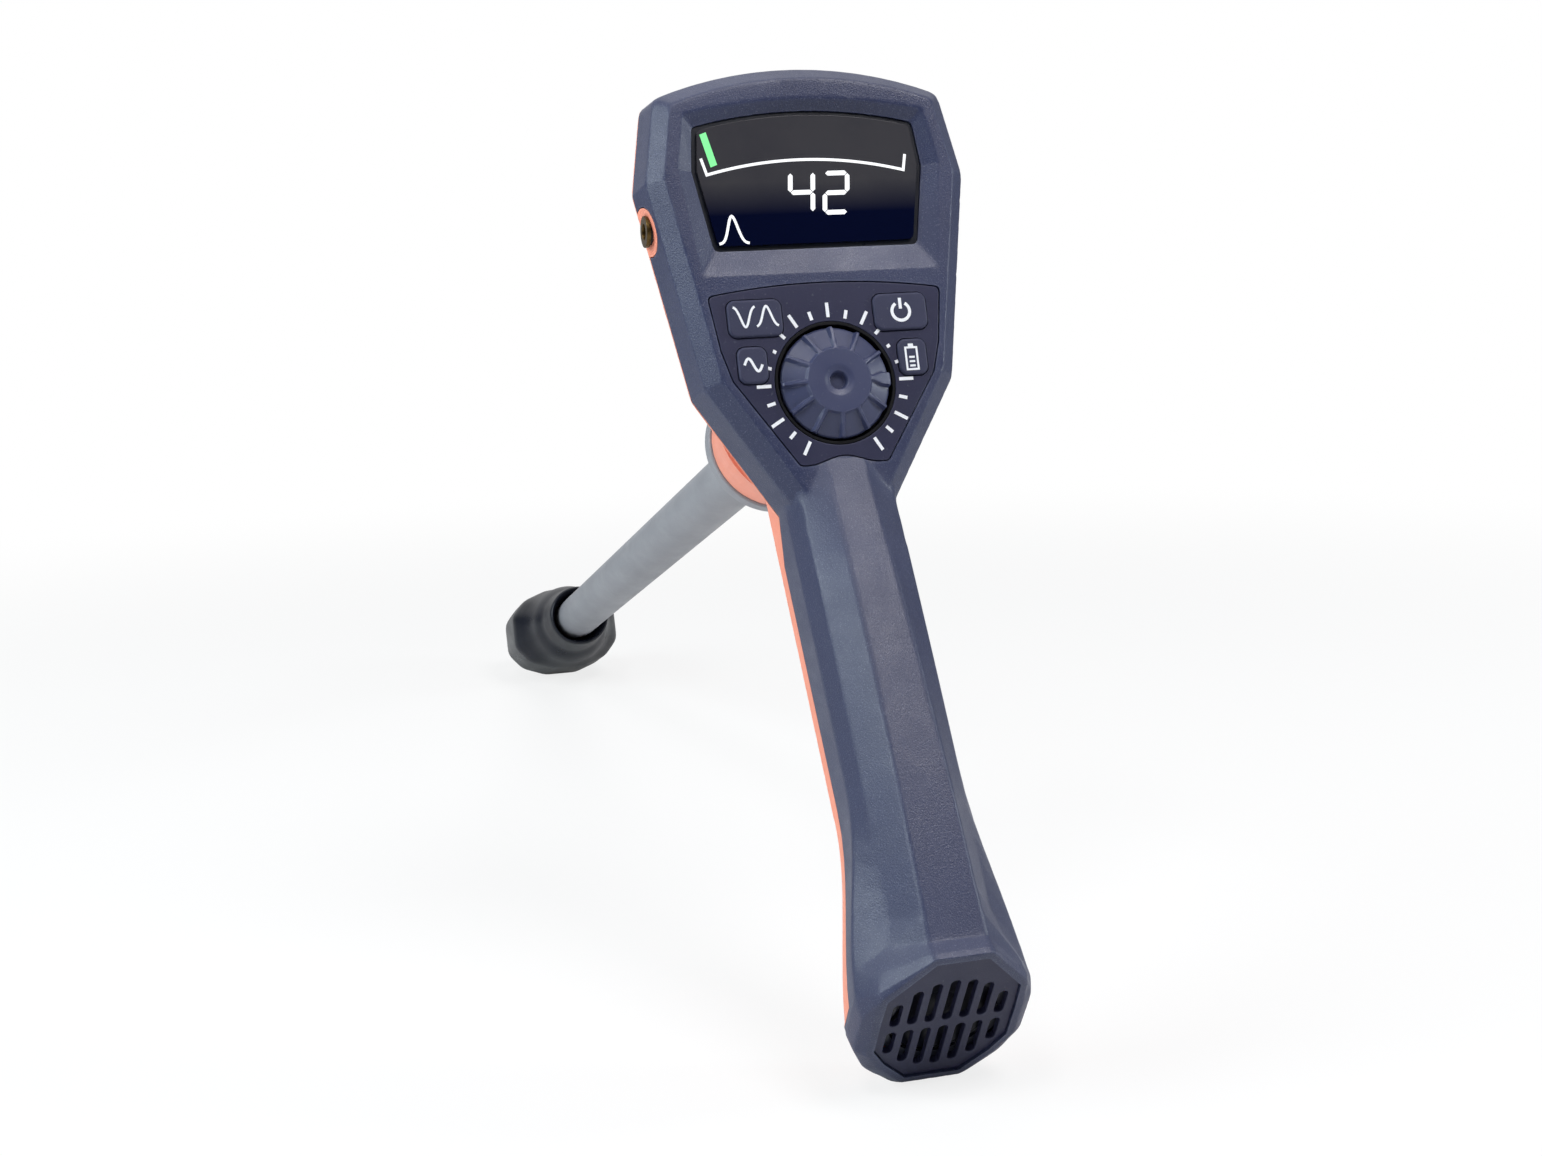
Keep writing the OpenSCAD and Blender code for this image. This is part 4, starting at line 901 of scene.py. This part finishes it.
def knobHeight(r, turn):
    top, topR, outer, dimpleR = [knob[key] for key in ("topZ", "topR", "outerR", "dimpleR")]
    fall = max(0, r - topR)
    soft = fall * easeBetween(fall, -knob["topSoft"], knob["topSoft"]) / (outer - topR)
    period = 2 * math.pi / knob["petals"]
    ridge = round(turn / period) * period
    half = knob["ridgeHalf"]
    if abs(math.sin(ridge / 2)) < 0.01:  # the pointer at three o'clock widens outwards
        half += (knob["pointerHalf"] - half) * easeBetween(r, topR, outer - knob["pointerTip"])
    flank = easeBetween(abs(turn - ridge) * r, half, half + knob["flank"])
    low = knob["shoulderZ"] + (knob["petalZ"] - knob["shoulderZ"]) * flank
    stepFrom, stepTo = knob["stepEdge"]
    z = top + (low - top) * soft
    z -= knob["petalStep"] * flank * (1 - soft) * easeBetween(r, topR + stepFrom, topR + stepTo)
    z -= knob["rimDepth"] * (1 - easeBetween(r, dimpleR, knob["dimpleRim"]))
    wall = 1 - easeBetween(r, dimpleR - knob["dimpleWall"], dimpleR)
    z -= (knob["dimpleDepth"] - knob["rimDepth"]) * wall
    return z - knob["edgeDrop"] * easeBetween(r, outer - knob["edgeWidth"], outer) ** 2


def makeKnob():
    around, outer = knob["around"], knob["outerR"]
    turns = [2 * math.pi * k / around for k in range(around)]
    radii = [r for key in ("dimpleRings", "topRings", "petalRings", "rimRings") for r in knob[key]]
    rings = [[(r, knobHeight(r, t)) for t in turns] for r in [*radii, outer]]
    under = [(outer, z) for z in knob["sideZ"]] + [(outer - knob["footIn"], knob["footZ"]), *knob["hollow"]]
    rings += [[point] * around for point in under]
    mesh = loftRings("dialKnob", turns, rings, knobHeight(0, 0), knob["hollowZ"])
    mesh.transform(fromFace)
    smoothMesh(mesh, knob["sharpFrom"])
    piece = newPiece("dialKnob", mesh, knobPlastic, "dial")
    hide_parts("dial_knob")


makeKnob()
print("knob made")

# printed marks round the dial, from a rule: long and short in turn, small squares beside the lower keys
ticks = {"Count": 21, "Step": 15.0, "Inner Radius": 19.7, "Long": 4.4, "Short": 2.6, "Square": 1.1,
         "Width": 1.0, "Height": 0.08}
tickLift = 0.02
squaresFrom, squaresTo = 3.5, 5.5  # the fourth and fifth marks from the top, on either side


def buildTickTree():
    group = bpy.data.node_groups.new("dialTicks", "GeometryNodeTree")
    group.interface.new_socket(name="Geometry", in_out="OUTPUT", socket_type="NodeSocketGeometry")
    for label, value in ticks.items():
        kind = "NodeSocketInt" if isinstance(value, int) else "NodeSocketFloat"
        group.interface.new_socket(name=label, in_out="INPUT", socket_type=kind).default_value = value
    group.interface.new_socket(name="Material", in_out="INPUT", socket_type="NodeSocketMaterial")
    given = group.nodes.new("NodeGroupInput").outputs
    result = group.nodes.new("NodeGroupOutput")
    link = group.links.new

    def sums(kind, a, b=0.0):
        return math2(group, kind, a, b)

    def choose(test, no, yes):
        node = group.nodes.new("GeometryNodeSwitch")
        node.input_type = "FLOAT"
        link(test, node.inputs["Switch"])
        link(no, node.inputs["False"])
        link(yes, node.inputs["True"])
        return node.outputs[0]

    def vector(*parts):
        node = group.nodes.new("ShaderNodeCombineXYZ")
        for i, part in enumerate(parts):
            if part is not None:
                link(part, node.inputs[i])
        return node.outputs[0]

    line = group.nodes.new("GeometryNodeMeshLine")
    link(given["Count"], line.inputs["Count"])
    index = group.nodes.new("GeometryNodeInputIndex").outputs[0]
    middle = sums("MULTIPLY", sums("SUBTRACT", given["Count"], 1.0), 0.5)
    offset = sums("SUBTRACT", index, middle)
    place = sums("ABSOLUTE", offset)
    turn = sums("RADIANS", sums("MULTIPLY", offset, given["Step"]))
    odd = sums("GREATER_THAN", sums("MODULO", place, 2.0), 0.5)
    beside = sums("MULTIPLY", sums("GREATER_THAN", place, squaresFrom), sums("LESS_THAN", place, squaresTo))
    length = choose(beside, choose(odd, given["Long"], given["Short"]), given["Square"])
    radius = sums("ADD", given["Inner Radius"], sums("MULTIPLY", length, 0.5))
    spot = vector(sums("MULTIPLY", sums("SINE", turn), radius),
                  sums("MULTIPLY", sums("COSINE", turn), radius))
    move = group.nodes.new("GeometryNodeSetPosition")
    link(line.outputs["Mesh"], move.inputs["Geometry"])
    link(spot, move.inputs["Position"])
    block = group.nodes.new("GeometryNodeMeshCube")
    scatter = group.nodes.new("GeometryNodeInstanceOnPoints")
    link(move.outputs["Geometry"], scatter.inputs["Points"])
    link(block.outputs["Mesh"], scatter.inputs["Instance"])
    link(vector(None, None, sums("MULTIPLY", turn, -1.0)), scatter.inputs["Rotation"])
    link(vector(given["Width"], length, given["Height"]), scatter.inputs["Scale"])
    real = group.nodes.new("GeometryNodeRealizeInstances")
    link(scatter.outputs["Instances"], real.inputs["Geometry"])
    paint = group.nodes.new("GeometryNodeSetMaterial")
    link(real.outputs["Geometry"], paint.inputs["Geometry"])
    link(given["Material"], paint.inputs["Material"])
    link(paint.outputs["Geometry"], result.inputs["Geometry"])
    return group


def makeTicks():
    piece = bpy.data.objects.new("dialTicks", bpy.data.meshes.new("dialTicks"))
    scene.collection.objects.link(piece)
    treeModifier = piece.modifiers.new("ticks", "NODES")
    group = buildTickTree()
    treeModifier.node_group = group
    for item in group.interface.items_tree:
        if item.in_out == "INPUT":
            treeModifier[item.identifier] = whiteInk if item.name == "Material" else ticks[item.name]
    settle(piece)
    piece.data.transform(fromFace @ Matrix.Translation((0, 0, tickLift)))
    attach(piece, "housing")


makeTicks()
print("dial marks made")

# printed and lit signs: flat strips and shapes a few hundredths of a millimetre thick
sign = {"proud": 0.05, "thick": 0.08, "mergeWithin": 1e-4}


def stripOf(points, width, closed=False):
    points = [Vector(q) for q in points]
    count = len(points)
    left, right = [], []
    for i, q in enumerate(points):
        before = points[i - 1] if i or closed else None
        after = points[(i + 1) % count] if i < count - 1 or closed else None
        one = (q - before).normalized() if before else (after - q).normalized()
        two = (after - q).normalized() if after else one
        mean = (one + two).normalized()
        side = Vector((-mean.y, mean.x)) * (width / 2 / max(0.5, mean.dot(one)))
        left.append(q + side)
        right.append(q - side)
    last = count if closed else count - 1
    return [[left[i], left[(i + 1) % count], right[(i + 1) % count], right[i]] for i in range(last)]


def makeSign(name, body, z, shapes, material):
    bm = bmesh.new()
    for shape in shapes:
        bm.faces.new([bm.verts.new((q[0], q[1], z + sign["proud"])) for q in shape])
    bmesh.ops.remove_doubles(bm, verts=bm.verts[:], dist=sign["mergeWithin"])
    grown = bmesh.ops.extrude_face_region(bm, geom=bm.faces[:])["geom"]
    lower = [v for v in grown if isinstance(v, bmesh.types.BMVert)]
    bmesh.ops.translate(bm, verts=lower, vec=(0, 0, -sign["thick"]))
    bmesh.ops.recalc_face_normals(bm, faces=bm.faces[:])
    mesh = meshFrom(bm, name)
    mesh.transform(fromFace)
    newPiece(name, mesh, material, body)


def arcOf(x, y, r, start, end, steps):
    turns = [math.radians(start + (end - start) * k / steps) for k in range(steps + 1)]
    return [(x + r * math.cos(turn), y + r * math.sin(turn)) for turn in turns]


def bell(x, y, halfWidth, height, spread, steps=28):
    across = [halfWidth * (2 * i / steps - 1) for i in range(steps + 1)]
    return [(x + d, y + height * math.exp(-(d / spread) ** 2)) for d in across]


def boxOf(x, y, w, h):
    return [(x - w / 2, y - h / 2), (x + w / 2, y - h / 2), (x + w / 2, y + h / 2), (x - w / 2, y + h / 2)]


keySigns = {
    "z": 1.0, "line": 0.68,
    "curves": ((-18.9, 17.6, 6.1), (-25.6, 23.9, -6.2)), "curveHalf": 3.3, "curveSpread": 1.75,
    "power": (22.4, 20.4), "powerLine": 0.95, "ringDrop": 0.2, "ringR": 2.75, "ringFrom": 122,
    "ringTo": 418, "ringSteps": 40, "strokeUp": 2.2, "strokeLength": 3.3,
    "battery": (24.1, 6.2), "caseDrop": 0.4, "caseSize": (3.5, 6.6), "caseLine": 0.6, "capUp": 3.6,
    "capSize": (1.6, 0.9), "bars": 3, "barSide": 0.05, "barDrop": 2.6, "barStep": 1.3,
    "barSize": (1.7, 0.6),
    "wave": (-24.6, 6.4), "waveLength": 5.4, "waveHeight": 1.9, "waveSteps": 36, "waveLine": 0.78,
}


def makeKeySigns():
    s = keySigns
    z = s["z"]
    curves = []
    for x, y, height in s["curves"]:
        curves += stripOf(bell(x, y, s["curveHalf"], height, s["curveSpread"]), s["line"])
    makeSign("peakNullSign", "peak_null_button", z, curves, whiteInk)
    x, y = s["power"]
    ring = arcOf(x, y - s["ringDrop"], s["ringR"], s["ringFrom"], s["ringTo"], s["ringSteps"])
    stroke = boxOf(x, y + s["strokeUp"], s["powerLine"], s["strokeLength"])
    makeSign("powerSign", "power_button", z, stripOf(ring, s["powerLine"]) + [stroke], whiteInk)
    x, y = s["battery"]
    case = stripOf(boxOf(x, y - s["caseDrop"], *s["caseSize"]), s["caseLine"], closed=True)
    heights = [y - s["barDrop"] + s["barStep"] * k for k in range(s["bars"])]
    bars = [boxOf(x + s["barSide"], height, *s["barSize"]) for height in heights]
    cap = boxOf(x, y + s["capUp"], *s["capSize"])
    makeSign("batterySign", "battery_button", z, case + bars + [cap], whiteInk)
    x, y = s["wave"]
    along = [k / s["waveSteps"] for k in range(s["waveSteps"] + 1)]
    wave = [(x + s["waveLength"] * (k - 0.5), y + s["waveHeight"] * math.sin(2 * math.pi * k))
            for k in along]
    makeSign("waveSign", "frequency_button", z, stripOf(wave, s["waveLine"]), whiteInk)


makeKeySigns()

display = {
    "z": -2.0, "line": 0.85, "scaleEnds": ((-31.39, 64.6), (29.7, 64.37)), "scaleTop": 68.43,
    "scaleSteps": 32, "brackets": ((-32.68, 69.62), (30.75, 69.21)),
    "digits": (((-7.2, 52.4), "fgbc"), ((3.5, 52.0), "abged")), "digitSize": (7.0, 12.0), "segment": 1.45,
    "segmentGap": 0.14, "slant": 0.115,
    "peak": (-25.3, 43.6), "peakHalf": 4.6, "peakHeight": 8.3, "peakSpread": 2.0, "peakLine": 0.8,
    "bar": ((-32.3, 76.9), (-29.97, 66.84), (-27.93, 67.61), (-30.3, 77.6)),
}


# one digit from its lit segments, a to g as they are usually named
def digitShapes(place, segments):
    w, h = display["digitSize"]
    half, gap = display["segment"] / 2, display["segmentGap"]
    ends = {
        "a": ((0, h), (w, h)), "g": ((0, h / 2), (w, h / 2)), "d": ((0, 0), (w, 0)),
        "f": ((0, h / 2), (0, h)), "b": ((w, h / 2), (w, h)), "e": ((0, 0), (0, h / 2)),
        "c": ((w, 0), (w, h / 2)),
    }
    shapes = []
    for key in segments:
        (x0, y0), (x1, y1) = ends[key]
        near = half + gap
        if y0 == y1:
            points = [(x0 + gap, y0), (x0 + near, y0 - half), (x1 - near, y0 - half), (x1 - gap, y0),
                      (x1 - near, y0 + half), (x0 + near, y0 + half)]
        else:
            points = [(x0, y0 + gap), (x0 + half, y0 + near), (x0 + half, y1 - near), (x0, y1 - gap),
                      (x0 - half, y1 - near), (x0 - half, y0 + near)]
        shapes.append([(place[0] + x + y * display["slant"], place[1] + y) for x, y in points])
    return shapes


def makeDisplay():
    d = display
    (x0, y0), (x1, y1) = d["scaleEnds"]
    rise = d["scaleTop"] - (y0 + y1) / 2
    along = [k / d["scaleSteps"] for k in range(d["scaleSteps"] + 1)]
    arc = [(x0 + (x1 - x0) * k, y0 + (y1 - y0) * k + rise * (1 - (2 * k - 1) ** 2)) for k in along]
    white = stripOf([d["brackets"][0], *arc, d["brackets"][1]], d["line"])
    white += stripOf(bell(*d["peak"], d["peakHalf"], d["peakHeight"], d["peakSpread"]), d["peakLine"])
    for place, segments in d["digits"]:
        white += digitShapes(place, segments)
    makeSign("litScale", "housing", d["z"], white, litWhite)
    makeSign("litBar", "housing", d["z"], [d["bar"]], litGreen)


makeDisplay()
print("signs made")
